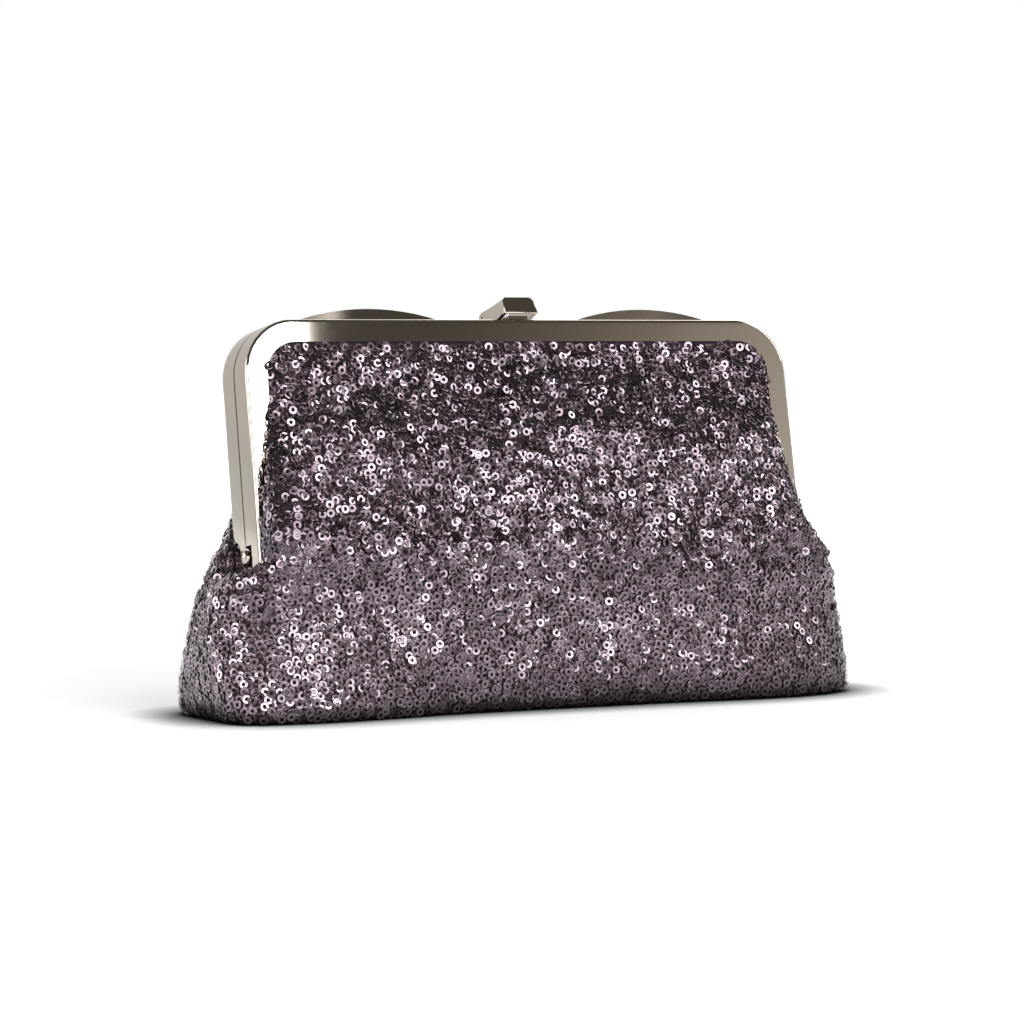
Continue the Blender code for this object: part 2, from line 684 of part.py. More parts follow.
def opening_half(height):
    """Half the width that a panel has inside the channel at a height."""
    if height <= CORNER_HEIGHT:
        return leg_half(height) - CHANNEL_EDGE
    radius = FRAME_CORNER - CHANNEL_EDGE
    return CORNER_CENTRE + math.sqrt(max(radius ** 2 - (height - CORNER_HEIGHT) ** 2, 0.0))


def panel_point(side, share, height, face):
    """A place on a panel, in the upright frame's own coordinates."""
    x = share * opening_half(height)
    span = BULGE_SPAN_FOOT + (BULGE_SPAN_TOP - BULGE_SPAN_FOOT) * height / FRAME_TOP
    start = BULGE_START + (CLOTH_FACE - face) * LINING_LAG_SHARE
    ramp = (outline_distance(x, height) - start) / span
    ramp = min(max(ramp, 0.0), 1.0)
    swell = ramp * ramp * (3 - 2 * ramp)
    droop = (1 - max(height, 0.0) / FRAME_TOP) ** BULGE_POWER
    return Vector((x, side * (face + PANEL_BULGE * swell * droop), height))


def leaned(place):
    """From the upright frame's coordinates to the world."""
    lean = Matrix.Rotation(-FRAME_LEAN, 4, "X")
    return lean @ place + Vector((0, HINGE_SETBACK, HINGE_HEIGHT))


def column_shares():
    return [-share for share in COLUMN_SHARES[:-1]] + list(reversed(COLUMN_SHARES))


def grid_mesh(name, rows, outward):
    """An open surface through rows of places, facing the outward direction."""
    builder = bmesh.new()
    lines = [[builder.verts.new(place) for place in row] for row in rows]
    for lower, upper in zip(lines, lines[1:]):
        for i in range(len(lower) - 1):
            builder.faces.new((lower[i], lower[i + 1], upper[i + 1], upper[i]))
    bmesh.ops.recalc_face_normals(builder, faces=builder.faces)
    builder.normal_update()
    total = Vector((0, 0, 0))
    for face in builder.faces:
        total += face.normal * face.calc_area()
    if total.dot(outward) < 0:
        bmesh.ops.reverse_faces(builder, faces=builder.faces)
    mesh = bpy.data.meshes.new(name)
    builder.to_mesh(mesh)
    builder.free()
    return mesh


def make_panel(workshop, name, side, face, thickness, material, parent):
    top = FRAME_TOP - CHANNEL_EDGE
    rows = []
    for share in PANEL_ROW_SHARES:
        height = PANEL_END + (top - PANEL_END) * share
        rows.append([panel_point(side, column, height, face) for column in column_shares()])
    panel = workshop.add(name, grid_mesh(name, rows, Vector((0, side, 0))), material, parent)
    add_solidify(panel, thickness)


# Pouch below the hinge

def pouch_half_width(height):
    return BASE_WIDTH / 2 - SHOULDER_DROP * (height / HINGE_HEIGHT) ** SHOULDER_POWER


def pouch_depth(side, height):
    """Distance of the front or rear of the pouch from the middle of the base."""
    share = height / HINGE_HEIGHT
    if side < 0:
        return BASE_DEPTH / 2 - FRONT_DRAW * share ** FRONT_POWER
    return BASE_DEPTH / 2 - REAR_DRAW * share ** REAR_POWER


def seam_setback(height):
    """The side seams run from the middle of the base to the hinge."""
    return HINGE_SETBACK * height / HINGE_HEIGHT


def pouch_point(side, share, height, inset, seam_gap):
    """A place on the pouch at a height, inset inwards from the cloth's outer face."""
    half = pouch_half_width(height) - inset
    middle = seam_setback(height)
    reach = pouch_depth(side, height) - side * middle - inset
    arc = (1 - min(abs(share), 1.0) ** RING_POWER) ** (1 / RING_POWER)
    return Vector((half * share, middle + side * (seam_gap + (reach - seam_gap) * arc), height))


def make_belly(workshop, name, side, face, inset, thickness, material):
    """The part of a panel between the frame and the tub, which folds when the frame opens."""
    tuck = inset / 2
    narrow = 1 - tuck / opening_half(0.0)
    foot = -FRAME_FOOT - 2 * GAP - tuck
    rows = []
    for height, width_share, pull in ((PANEL_END - GAP, 1.0, 0.0), (foot, narrow, tuck / 2)):
        row = [panel_point(side, column, height, face - pull) for column in column_shares()]
        for place in row:
            place.x *= width_share
        rows.append([leaned(place) for place in row])
    low = TUB_RIM + GAP
    for height, gap in ((BELLY_KNEE, KNEE_SEAM_GAP), ((BELLY_KNEE + low) / 2, KNEE_SEAM_GAP / 2),
                        (low, SEAM_GAP)):
        row = [pouch_point(side, column, height, inset, gap) for column in column_shares()]
        rows.append(row)
    belly = workshop.add(name, grid_mesh(name, rows, Vector((0, side, 0))), material)
    add_solidify(belly, thickness)


def tub_ring(height, inset):
    """A closed ring of places round the pouch."""
    ring = []
    for step in range(RING_POINTS):
        turn = 2 * math.pi * (step + 0.5) / RING_POINTS
        share = math.copysign(abs(math.cos(turn)) ** (2 / RING_POWER), math.cos(turn))
        side = 1 if math.sin(turn) > 0 else -1
        ring.append(pouch_point(side, share, height, inset, 0.0))
    return ring


def make_tub(workshop, name, inset, floor, thickness, material):
    """The lower part of one layer: a ring wall on a flat floor with a rounded edge."""
    rows = []
    for step in range(BEND_STEPS + 1):
        turn = math.pi / 2 * step / BEND_STEPS
        height = floor + BASE_EDGE * (1 - math.cos(turn))
        rows.append(tub_ring(height, inset + BASE_EDGE * (1 - math.sin(turn))))
    start = floor + BASE_EDGE
    for share in TUB_ROW_SHARES:
        rows.append(tub_ring(start + (TUB_RIM - start) * share, inset))
    builder = bmesh.new()
    rings = [[builder.verts.new(place) for place in row] for row in rows]
    for ring, following in zip(rings, rings[1:]):
        for i in range(RING_POINTS):
            j = (i + 1) % RING_POINTS
            builder.faces.new((ring[i], ring[j], following[j], following[i]))
    builder.faces.new(list(reversed(rings[0])))
    tub = workshop.add(name, finish_mesh(builder, name), material)
    add_solidify(tub, thickness)


def make_base_board(workshop, floor):
    """The stiff card that keeps the base flat."""
    builder = bmesh.new()
    low = [builder.verts.new(place) for place in tub_ring(0.0, BASE_EDGE + BOARD_INSET)]
    face = builder.faces.new(low)
    bmesh.ops.translate(builder, verts=low, vec=(0, 0, floor))
    made = bmesh.ops.extrude_face_region(builder, geom=[face])
    raised = [item for item in made["geom"] if isinstance(item, bmesh.types.BMVert)]
    bmesh.ops.translate(builder, verts=raised, vec=(0, 0, BOARD))
    workshop.add("base_board", finish_mesh(builder, "base_board"), workshop.board)


def build():
    clear_scene()
    workshop = Workshop()
    axis = add_empty(workshop, "hinge_axis", None, (0, HINGE_SETBACK, HINGE_HEIGHT),
                     (-FRAME_LEAN, 0, 0))
    front = add_empty(workshop, "front_half", axis, (0, 0, 0), (0, 0, 0))
    rear = add_empty(workshop, "rear_half", axis, (0, 0, 0), (0, 0, 0))
    lever = add_empty(workshop, "lever_axis", rear, (0, AXLE_SETBACK, FRAME_TOP + AXLE_RISE), (0, 0, 0))

    make_front_frame(workshop, front)
    make_rear_frame(workshop, rear)
    make_hinge(workshop, "left", -1, axis)
    make_hinge(workshop, "right", 1, axis)
    make_lever(workshop, lever)
    make_bracket(workshop, rear)
    make_catch(workshop, front)
    make_plate_rivets(workshop, "catch_rivet", -1, CATCH_SHEET, front)
    make_plate_rivets(workshop, "bracket_rivet", 1, BRACKET_SHEET, rear)

    for name, side, parent in (("front", -1, front), ("rear", 1, rear)):
        make_paper_cord(workshop, name + "_paper_cord", side, parent)
        make_panel(workshop, name + "_panel", side, CLOTH_FACE, CLOTH, workshop.sequins, parent)
        make_panel(workshop, name + "_lining", side, LINING_FACE, LINING, workshop.satin, parent)
        make_belly(workshop, name + "_belly", side, CLOTH_FACE, 0.0, CLOTH, workshop.sequins)

    padding_inset = CLOTH + LAYER_STEP
    lining_inset = padding_inset + PADDING + LAYER_STEP
    board_floor = CLOTH + GAP
    padding_floor = board_floor + BOARD + GAP
    lining_floor = padding_floor + PADDING + GAP
    for name, side in (("front", -1), ("rear", 1)):
        make_belly(workshop, name + "_belly_lining", side, LINING_FACE, lining_inset, LINING,
                   workshop.satin)
    make_tub(workshop, "base_shell", 0.0, 0.0, CLOTH, workshop.sequins)
    make_base_board(workshop, board_floor)
    make_tub(workshop, "pouch_padding", padding_inset, padding_floor, PADDING, workshop.felt)
    make_tub(workshop, "lining_tub", lining_inset, lining_floor, LINING, workshop.satin)


build()
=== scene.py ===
"""Dresses the sequinned clutch: cloth, sequins, lining, polished metal and a plain stage."""

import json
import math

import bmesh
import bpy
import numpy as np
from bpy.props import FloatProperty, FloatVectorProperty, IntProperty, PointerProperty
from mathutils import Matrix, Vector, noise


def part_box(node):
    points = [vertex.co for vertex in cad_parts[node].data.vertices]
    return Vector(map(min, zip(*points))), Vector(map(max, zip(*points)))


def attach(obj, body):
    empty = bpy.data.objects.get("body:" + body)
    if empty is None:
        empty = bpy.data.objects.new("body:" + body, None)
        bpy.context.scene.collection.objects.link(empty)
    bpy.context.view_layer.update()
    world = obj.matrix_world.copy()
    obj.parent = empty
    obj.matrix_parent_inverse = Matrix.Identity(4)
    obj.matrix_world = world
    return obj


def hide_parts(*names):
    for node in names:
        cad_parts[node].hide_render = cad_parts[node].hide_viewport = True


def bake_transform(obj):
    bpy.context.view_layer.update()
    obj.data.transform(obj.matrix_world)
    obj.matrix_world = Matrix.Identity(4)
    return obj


bl_info = {
    "name": "Sequinned Clutch",
    "version": (1, 0, 0),
    "blender": (4, 5, 0),
    "location": "View3D > Sidebar > Clutch",
    "description": "Builds a sequinned clutch bag round its hinged metal frame",
    "category": "Add Mesh",
}

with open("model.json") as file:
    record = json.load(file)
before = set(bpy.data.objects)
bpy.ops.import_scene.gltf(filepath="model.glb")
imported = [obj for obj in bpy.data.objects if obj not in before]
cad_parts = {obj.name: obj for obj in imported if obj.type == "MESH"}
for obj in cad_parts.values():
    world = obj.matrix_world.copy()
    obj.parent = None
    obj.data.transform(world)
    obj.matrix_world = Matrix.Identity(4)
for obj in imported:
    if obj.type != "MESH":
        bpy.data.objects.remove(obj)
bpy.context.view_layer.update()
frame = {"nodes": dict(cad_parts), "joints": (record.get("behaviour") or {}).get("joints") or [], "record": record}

MM = 0.001
JOINTS = {joint["name"]: joint for joint in frame["joints"]}
HINGE = Vector(JOINTS["front_half_hinge"]["pos_m"])


# Sizes read from the frame

def main_normal(node):
    """The direction that most of a node's front surface faces."""
    areas = {}
    for face in frame["nodes"][node].data.polygons:
        if face.normal.y < -0.5:
            key = tuple(round(value, 3) for value in face.normal)
            areas[key] = areas.get(key, 0.0) + face.area
    return Vector(max(areas, key=areas.get))


def upright_box(node):
    """Lowest and highest corner of a node with the frame's lean taken out, round the hinge axis."""
    turn = Matrix.Rotation(LEAN, 3, "X")
    places = np.array([turn @ (vertex.co - HINGE) for vertex in frame["nodes"][node].data.vertices])
    return places.min(0), places.max(0)


LEAN = math.atan2(main_normal("front_frame").z, -main_normal("front_frame").y)
FRAME_LOW, FRAME_HIGH = upright_box("front_frame")
FRAME_FACE = -FRAME_LOW[1]
FRAME_HALF = FRAME_HIGH[0]
RAIL_TOP = FRAME_HIGH[2]
FOOT = FRAME_LOW[2]

# Sizes of the frame's sheet that its box doesn't give
FLARE = math.radians(0.58)
CORNER = 18.0 * MM
STRIP = 7.4 * MM
SHEET = 0.8 * MM
CORD_EDGE = 1.9 * MM
CORD_DEPTH = 5.15 * MM

STRIP_CORNER = CORNER - STRIP
CORNER_HEIGHT = RAIL_TOP - CORNER
CORNER_CENTRE = FRAME_HALF - math.tan(FLARE) * CORNER_HEIGHT - CORNER / math.cos(FLARE)
PANEL_TOP = RAIL_TOP - STRIP

# The pouch at stations of height along its middle line, from the table to the top rail. In mm: height,
# width past the frame, what the front and the rear add to it on the left, depth of the front and depth of
# the rear. The last number is how square the slice is
STATION_TABLE = np.array((
    (0, 22.6, 0, 0, 28.4, 28.4, 3.5),
    (8, 23.2, 0, 0, 28.4, 28.4, 3.5),
    (20, 22.4, 0, 0, 26.6, 26.9, 3.5),
    (32, 21.0, 0, 0, 24.8, 25.2, 3.6),
    (40, 18.4, 0, 0, 24.2, 24.5, 4.2),
    (43, 15.0, 0, 0.6, 24.1, 24.1, 4.6),
    (46.5, 10.6, -4.4, 2.8, 24.0, 23.5, 5.1),
    (50, 7.4, -1.2, 4.8, 23.8, 22.5, 5.7),
    (55, 3.9, 2.1, 4.8, 23.0, 21.4, 6.5),
    (62, 2.1, 3.4, 3.4, 21.4, 19.6, 7.0),
    (68, 1.1, 3.3, 1.6, 19.8, 17.8, 6.5),
    (74, 0.6, 2.6, 0.5, 18.0, 15.9, 5.5),
    (80, 0.4, 1.8, 0, 16.2, 14.2, 4.6),
    (90, 0.2, 0.8, 0, 13.0, 11.6, 3.6),
    (104, 0.2, 0, 0, 9.8, 9.3, 3.2),
    (118, 0.2, 0, 0, 8.3, 8.3, 3.0)))
STATIONS, OVERHANG, FRONT_LEFT, REAR_LEFT, FRONT_DEPTH, REAR_DEPTH = STATION_TABLE.T[:6] * MM
SQUARENESS = STATION_TABLE.T[6]
END_FLARE = 6.5 * MM
LEFT_CORNER = 5.5
FLARE_START = 28.0 * MM
FLARE_FULL = 92.0 * MM
SEAM_LOW = 42.8 * MM
SEAM_HIGH = 44.8 * MM
STRIP_CLEAR = 0.45 * MM
STRIP_GAP = 0.3 * MM
CHANNEL_DEPTH = 8.1 * MM
CHANNEL_REACH = 2.2 * MM
LIFT_LOW = 76.0 * MM
LIFT_HIGH = 88.0 * MM
LEFT_LIFT_LOW = 92.0 * MM
LEFT_LIFT_HIGH = 102.0 * MM
SHOULDER_LOW = 39.0 * MM
SHOULDER_HIGH = 52.0 * MM
SHOULDER_IN = 88.0 * MM
BASE_EDGE = 1.7 * MM
BASE_LIFT = 0.5 * MM
TABLE_CLEAR = 0.08 * MM
CALM_LOW = 6.0 * MM
CALM_TOP = (100 * MM, 114 * MM)
CALM_ENDS = (88 * MM, 97 * MM)

# How the sequins lie: they hang a little low down, and lean back at the top, in patches
LOW_DROOP = math.radians(-8)
HIGH_RISE = math.radians(12)
SHOULDER_DROOP = math.radians(-24)
PATCH_TILT = math.radians(14)
PATCH_WIDTH = 22.0 * MM
PATCH_HEIGHT = 11.0 * MM
MOST_TILT = math.radians(48)
LEDGE = -0.35
JITTER = 0.35
FIRST_SHARE = 0.25
INNER_RISE = 0.6
BASE_JITTER = 0.6
BASE_TILT = 0.12
BASE_DROP = 0.25 * MM
MAP_SQUARE = 1.15
EDGE_CLEAR = 0.1 * MM
LOOSE_AT_EDGE = 0.15
OVER_STRIP = 0.35 * MM

# How light the sequins are: painted light and shade at heights, painted light and shade in soft creases and a
# painted shadow at the foot
PAINTED_SHADE_HEIGHTS = np.array((20, 40, 62, 92, 112)) * MM
PAINTED_SHADE_MIDDLES = (0.39, 0.30, 0.37, 0.29, 0.43)
SHADE_DRAW = (2.0, 2.4)
SHADE_MEAN = 0.45
PAINTED_CREASE_WIDTH = 11.0 * MM
PAINTED_CREASE_HEIGHT = 17.0 * MM
PAINTED_CREASE_SHADE = 0.9
PAINTED_FOOT_SHADOW = 0.85

# Heights in mm between which the sequins' lie and shade change, and places across the clutch
PAINTED_FOOT_SHADOW_HEIGHTS = (2, 22)
LOOSENING = (4, 24)
PATCHES = (16, 46)
HANGING = (28, 50)
LOWER_SPREAD = (30, 50)
UNDER_SHELF = (40, 50)
LIVELY = (36, 62)
PAINTED_CREASE_FADE = (40, 62)
UPPER_SPREAD = (60, 100)
CALMER = (66, 100)
LEANING = (78, 90)
PAINTED_LIGHT_LEFT = (78, 92)
PAINTED_LIGHT_ACROSS = (-80, -10)
PAINTED_FOOT_SHADOW_ACROSS = (-90, -20)

# How finely the cloth is drawn, and which angles count as edges
ROW_STEP = 2.2 * MM
SEAM_STEP = 0.5 * MM
FOOT_ROWS = 47.5 * MM
COLUMNS = 141
SLICE_POINTS = 360
BASE_LINES = 25
MERGE = 0.02 * MM
SIDES = (("front", -1), ("rear", 1))
SMOOTH_ANGLE = math.radians(35)
RIM_ANGLE = math.radians(12)
BREAK_ANGLE = math.radians(38)
FLAT_ANGLE = math.radians(0.6)
METAL_MERGE = 0.002 * MM


# Settings

def length_setting(name, description, default, least=0.0):
    """A size in metres."""
    return FloatProperty(name=name, description=description, default=default, min=least, unit="LENGTH")


def colour_setting(name, description, default):
    return FloatVectorProperty(name=name, description=description, subtype="COLOR", default=default,
                               min=0.0, max=1.0)


class ClothSettings(bpy.types.PropertyGroup):
    """Sizes and colours of the knitted ground cloth."""

    sway: FloatProperty(name="Sway", description="How far the base lies to the left of the frame",
                        default=3.0 * MM, unit="LENGTH")
    ripple: length_setting("Ripple", "Depth of the soft unevenness of the cloth", 0.9 * MM)
    ripple_width: length_setting("Ripple Width", "Width of one soft wave of the cloth", 34.0 * MM, MM)
    thickness: length_setting("Thickness", "Thickness of the ground cloth", 0.5 * MM)
    loop: length_setting("Loop", "Width of one knitted loop", 0.8 * MM, 0.1 * MM)
    colour: colour_setting("Colour", "Colour of the yarn", (0.020, 0.011, 0.017))


class SequinSettings(bpy.types.PropertyGroup):
    """Sizes, lie and colours of the ring sequins."""

    diameter: length_setting("Diameter", "Outer diameter of a sequin", 3.1 * MM, MM)
    hole: length_setting("Hole", "Diameter of the hole", 1.2 * MM)
    ridge: length_setting("Ridge", "Height of the face over the outer edge", 0.07 * MM)
    rim: length_setting("Rim", "Width of the sloping outer rim", 0.22 * MM)
    spacing: length_setting("Spacing", "Distance between neighbours", 2.2 * MM, MM)
    lift: length_setting("Lift", "Least height of a sequin's middle over the cloth", 0.35 * MM)
    loose: length_setting("Looseness", "How much higher the loosest sequins lie", 0.8 * MM)
    tilt: FloatProperty(name="Tilt", description="Spread of the sequins' tilt", subtype="ANGLE",
                        default=math.radians(16))
    segments: IntProperty(name="Segments", description="Sides of the ring", default=12, min=6)
    seed: IntProperty(name="Seed", description="Start of the random numbers", default=7)
    light: colour_setting("Light Mauve", "Colour of the brightest sequins", (0.60, 0.485, 0.565))
    dark: colour_setting("Dark Mauve", "Colour of the darkest sequins", (0.09, 0.068, 0.084))
    # Painted shade: the dark colour laid on each ring's rim and hole, where the rings overlap
    edge: colour_setting("Edge", "Colour of the sequins' edges", (0.06, 0.03, 0.05))


class LiningSettings(bpy.types.PropertyGroup):
    """Place and colour of the satin lining and the felt behind it."""

    inset: length_setting("Inset", "Distance of the lining from the outer cloth", 3.4 * MM, MM)
    thickness: length_setting("Thickness", "Thickness of the satin", 0.3 * MM)
    pleat: length_setting("Pleat", "Depth of the soft pleats in the lining", 0.5 * MM)
    pleat_width: length_setting("Pleat Width", "Width of one pleat", 13.0 * MM, MM)
    colour: colour_setting("Colour", "Colour of the satin", (0.055, 0.035, 0.055))


class MetalSettings(bpy.types.PropertyGroup):
    """Finish of the plated metal."""

    colour: colour_setting("Nickel", "Colour of the nickel plate", (0.60, 0.545, 0.475))
    roughness: FloatProperty(name="Roughness", description="Least roughness of the nickel",
                             default=0.022, min=0.0, max=1.0)
    rounding: length_setting("Edge Rounding", "Radius of the broken edges", 0.22 * MM)
    parting: length_setting("Parting Rounding", "Radius where the halves' sides meet", 0.7 * MM)


class StageSettings(bpy.types.PropertyGroup):
    """Floor, lamps and background."""

    floor: length_setting("Floor Width", "Width of the floor", 12.0, 1.0)
    key: FloatProperty(name="Key Lamp", description="Power of the large front lamp", default=12.0, min=0.0,
                       unit="POWER")
    fill: FloatProperty(name="Top Lamp", description="Power of the lamp overhead", default=6.0, min=0.0,
                        unit="POWER")
    room: FloatProperty(name="Room Light", description="Brightness of the room on dull surfaces",
                        default=0.55, min=0.0)


# Shader maths

class Link:
    """One output of a node. Arithmetic on it adds Math nodes."""

    def __init__(self, recipe, socket):
        self.recipe = recipe
        self.socket = socket

    def maths(self, operation, first, second):
        return self.recipe.node("ShaderNodeMath", {"operation": operation}, {0: first, 1: second})

    def __add__(self, other):
        return self.maths("ADD", self, other)

    def __radd__(self, other):
        return self.maths("ADD", other, self)

    def __sub__(self, other):
        return self.maths("SUBTRACT", self, other)

    def __rsub__(self, other):
        return self.maths("SUBTRACT", other, self)

    def __mul__(self, other):
        return self.maths("MULTIPLY", self, other)

    def __rmul__(self, other):
        return self.maths("MULTIPLY", other, self)

    def __truediv__(self, other):
        return self.maths("DIVIDE", self, other)

    def __pow__(self, other):
        return self.maths("POWER", self, other)


class Recipe:
    """The node tree of a material or of the world."""

    def __init__(self, tree):
        self.tree = tree

    def node(self, kind, settings, sockets, output=0):
        """Add a node, set it up, feed its sockets and give one of its outputs."""
        node = self.tree.nodes.new(kind)
        for name, value in settings.items():
            if name == "stops":
                self.fill_ramp(node.color_ramp, value)
            else:
                setattr(node, name, value)
        for name, value in sockets.items():
            self.feed(node.inputs[name], value)
        return Link(self, node.outputs[output])

    def fill_ramp(self, ramp, stops):
        while len(ramp.elements) < len(stops):
            ramp.elements.new(1.0)
        for element, (place, colour) in zip(ramp.elements, stops):
            element.position = place
            element.color = (*colour, 1.0)

    def feed(self, socket, value):
        if isinstance(value, Link):
            self.tree.links.new(value.socket, socket)
        else:
            socket.default_value = value

    def mix(self, factor, first, second):
        """A colour between two colours. The node's colour sockets share their names, so they go by number."""
        colours = [value if isinstance(value, Link) else (*value, 1.0) for value in (first, second)]
        return self.node("ShaderNodeMix", {"data_type": "RGBA"},
                         {0: factor, 6: colours[0], 7: colours[1]}, 2)

    def noise(self, place, size, detail=2.0, output=0):
        """Soft noise whose blots are about as wide as size."""
        return self.node("ShaderNodeTexNoise", {}, {"Vector": place, "Scale": 1.0 / size, "Detail": detail},
                         output)

    def place(self):
        """The surface's own place, in metres, as it lies at rest."""
        return self.node("ShaderNodeTexCoord", {}, {}, "Object")

    def ray(self, kind):
        """1 where the ray that looks is of a kind, such as Camera or Glossy."""
        return self.node("ShaderNodeLightPath", {}, {}, f"Is {kind} Ray")

    def attribute(self, name):
        return self.node("ShaderNodeAttribute", {"attribute_name": name}, {}, "Fac")

    def size(self, value):
        return self.node("ShaderNodeMath", {"operation": "ABSOLUTE"}, {0: value})

    def length(self, vector):
        return self.node("ShaderNodeVectorMath", {"operation": "LENGTH"}, {0: vector}, "Value")

    def along(self, vector, way):
        """How far a vector reaches a way."""
        return self.node("ShaderNodeVectorMath", {"operation": "DOT_PRODUCT"}, {0: vector, 1: way}, "Value")

    def waves(self, place, way, scale, distortion, detail=4.0):
        """Bands one behind the other along an axis."""
        return self.node("ShaderNodeTexWave", {"wave_type": "BANDS", "bands_direction": way},
                         {"Vector": place, "Scale": scale, "Distortion": distortion,
                          "Detail Scale": detail})

    def ramp(self, value, stops):
        """A colour for each value, read between stops."""
        return self.node("ShaderNodeValToRGB", {"stops": stops}, {"Fac": value})

    def step(self, value, start, end):
        """0 at the start, 1 at the end and a smooth step between them."""
        return self.node("ShaderNodeMapRange", {"interpolation_type": "SMOOTHSTEP"},
                         {"Value": value, "From Min": start, "From Max": end})

    def bump(self, height, distance, strength=1.0):
        return self.node("ShaderNodeBump", {}, {"Height": height, "Distance": distance,
                                                "Strength": strength})


def times(colour, share):
    return tuple(value * share for value in colour)


def surface(name, constants, links):
    """A Principled material. Links is a function that takes the recipe and gives what varies."""
    material = bpy.data.materials.new(name)
    material.use_nodes = True
    recipe = Recipe(material.node_tree)
    shader = material.node_tree.nodes["Principled BSDF"]
    for socket, value in constants.items():
        shader.inputs[socket].default_value = value
    for socket, value in links(recipe).items():
        recipe.feed(shader.inputs[socket], value)
    return material


# Finishes

def knit_finish(settings):
    def links(recipe):
        place = recipe.place()
        wales = recipe.waves(place, "X", 0.1 / settings.loop, 1.5)
        courses = recipe.waves(place, "Z", 0.13 / settings.loop, 2.0)
        loops = wales * courses
        wear = recipe.noise(place, 12.0 * MM)
        pale = times(settings.colour, 2.6)
        return {"Base Color": recipe.mix(loops * wear, tuple(settings.colour), pale),
                "Roughness": 0.95 - 0.2 * loops,
                "Normal": recipe.bump(loops, 0.25 * MM)}
    return surface("plum_knit", {"Sheen Weight": 0.15, "Specular IOR Level": 0.3}, links)


# How much of a ring's own colour shows from its hole to its rim, by the share of its radius; the rest is painted
# shade of its edges
RING_EDGE_SHADE = [(0.40, (0.2, 0.2, 0.2)), (0.50, (1, 1, 1)), (0.80, (1, 1, 1)), (0.96, (0.1, 0.1, 0.1))]


def sequin_finish(settings):
    def links(recipe):
        shade = recipe.attribute("shade")
        gloss = recipe.attribute("gloss")
        place = recipe.place()
        brushed = recipe.noise(place, 0.35 * MM)
        # Each sequin's random tone, with the painted light and shade set on it when sewn, picks its colour between
        # dark and light mauve
        colour = recipe.mix(shade, tuple(settings.dark), tuple(settings.light))
        rub = recipe.mix(brushed * 0.35, colour, tuple(settings.dark))
        # Painted shade at each ring's hole and rim
        edges = recipe.ramp(recipe.attribute("reach"), RING_EDGE_SHADE)
        return {"Base Color": recipe.mix(edges, tuple(settings.edge), rub),
                "Roughness": 0.06 + 0.14 * gloss,
                "Normal": recipe.bump(brushed, 0.02 * MM, 0.2)}
    return surface("mauve_sequin", {"Metallic": 0.88, "Coat Weight": 0.5, "Coat Roughness": 0.1}, links)


def satin_finish(settings):
    def links(recipe):
        place = recipe.place()
        threads = recipe.waves(place, "Z", 0.5 / MM, 0.6, 2.0)
        cloud = recipe.noise(place, 9.0 * MM)
        pale = times(settings.colour, 1.9)
        return {"Base Color": recipe.mix(cloud, tuple(settings.colour), pale),
                "Roughness": 0.34 + 0.12 * cloud,
                "Normal": recipe.bump(threads, 0.03 * MM, 0.5)}
    return surface("plum_satin", {"Sheen Weight": 0.35, "Sheen Roughness": 0.4}, links)


# Where the plate is darker along the line between the halves: distance from that line, way out along the frame and
# height over the hinge, each from none to full
GROOVE = (0.6 * MM, 0.25 * MM)
GROOVE_OUT = (55 * MM, 75 * MM)
GROOVE_UP = (4 * MM, 7 * MM)
GROOVE_COLOUR = (0.05, 0.036, 0.027)


def parting_darkening(recipe, place):
    """How much darker the plate is along the line where the sides of the two halves meet."""
    ahead = Vector((0, math.cos(LEAN), -math.sin(LEAN)))
    away = recipe.size(recipe.along(place, ahead) - ahead.dot(HINGE))
    parts = recipe.node("ShaderNodeSeparateXYZ", {}, {"Vector": place}, "X")
    height = Link(recipe, parts.socket.node.outputs["Z"])
    mask = recipe.step(away, *GROOVE) * recipe.step(recipe.size(parts), *GROOVE_OUT)
    return mask * recipe.step(height, HINGE.z + GROOVE_UP[0], HINGE.z + GROOVE_UP[1])


def nickel_finish(settings):
    def links(recipe):
        place = recipe.place()
        haze = recipe.noise(place, 26.0 * MM, 3.0)
        specks = recipe.noise(place, 0.9 * MM, 3.0)
        dust = recipe.ramp(specks, [(0.68, (0, 0, 0)), (0.76, (1, 1, 1))])
        dull = times(settings.colour, 0.9)
        ripple = recipe.noise(place, 22.0 * MM, 1.0)
        # The plate is darker along the line where the two halves meet
        parting_dark = parting_darkening(recipe, place)
        clean = recipe.mix(haze * 0.5 + dust * 0.2, tuple(settings.colour), dull)
        return {"Base Color": recipe.mix(parting_dark * 0.85, clean, GROOVE_COLOUR),
                "Roughness": settings.roughness + 0.03 * haze + 0.06 * dust + 0.2 * parting_dark,
                "Normal": recipe.bump(ripple, 0.02 * MM, 0.5)}
    return surface("polished_nickel", {"Metallic": 1.0}, links)


def worn_metal_finish(name, colour, roughness, grain):
    def links(recipe):
        place = recipe.place()
        haze = recipe.noise(place, grain, 3.0)
        dull = times(colour, 0.6)
        return {"Base Color": recipe.mix(haze, colour, dull), "Roughness": roughness + 0.15 * haze,
                "Normal": recipe.bump(haze, 0.02 * MM, 0.4)}
    return surface(name, {"Metallic": 1.0}, links)


def fibre_finish(name, colour, fibre, depth, roughness):
    """Felt, paper and board: short fibres that lie every way."""
    def links(recipe):
        place = recipe.place()
        fibres = recipe.noise(place, fibre, 5.0)
        blots = recipe.noise(place, fibre * 9.0, 2.0)
        dark = times(colour, 0.55)
        return {"Base Color": recipe.mix(fibres * 0.6 + blots * 0.4, dark, colour),
                "Roughness": roughness - 0.1 * fibres,
                "Normal": recipe.bump(fibres, depth)}
    return surface(name, {}, links)


# Objects

def add_object(name, data):
    """Put a mesh, curve, lamp or camera in the scene."""
    thing = bpy.data.objects.new(name, data)
    bpy.context.scene.collection.objects.link(thing)
    return thing


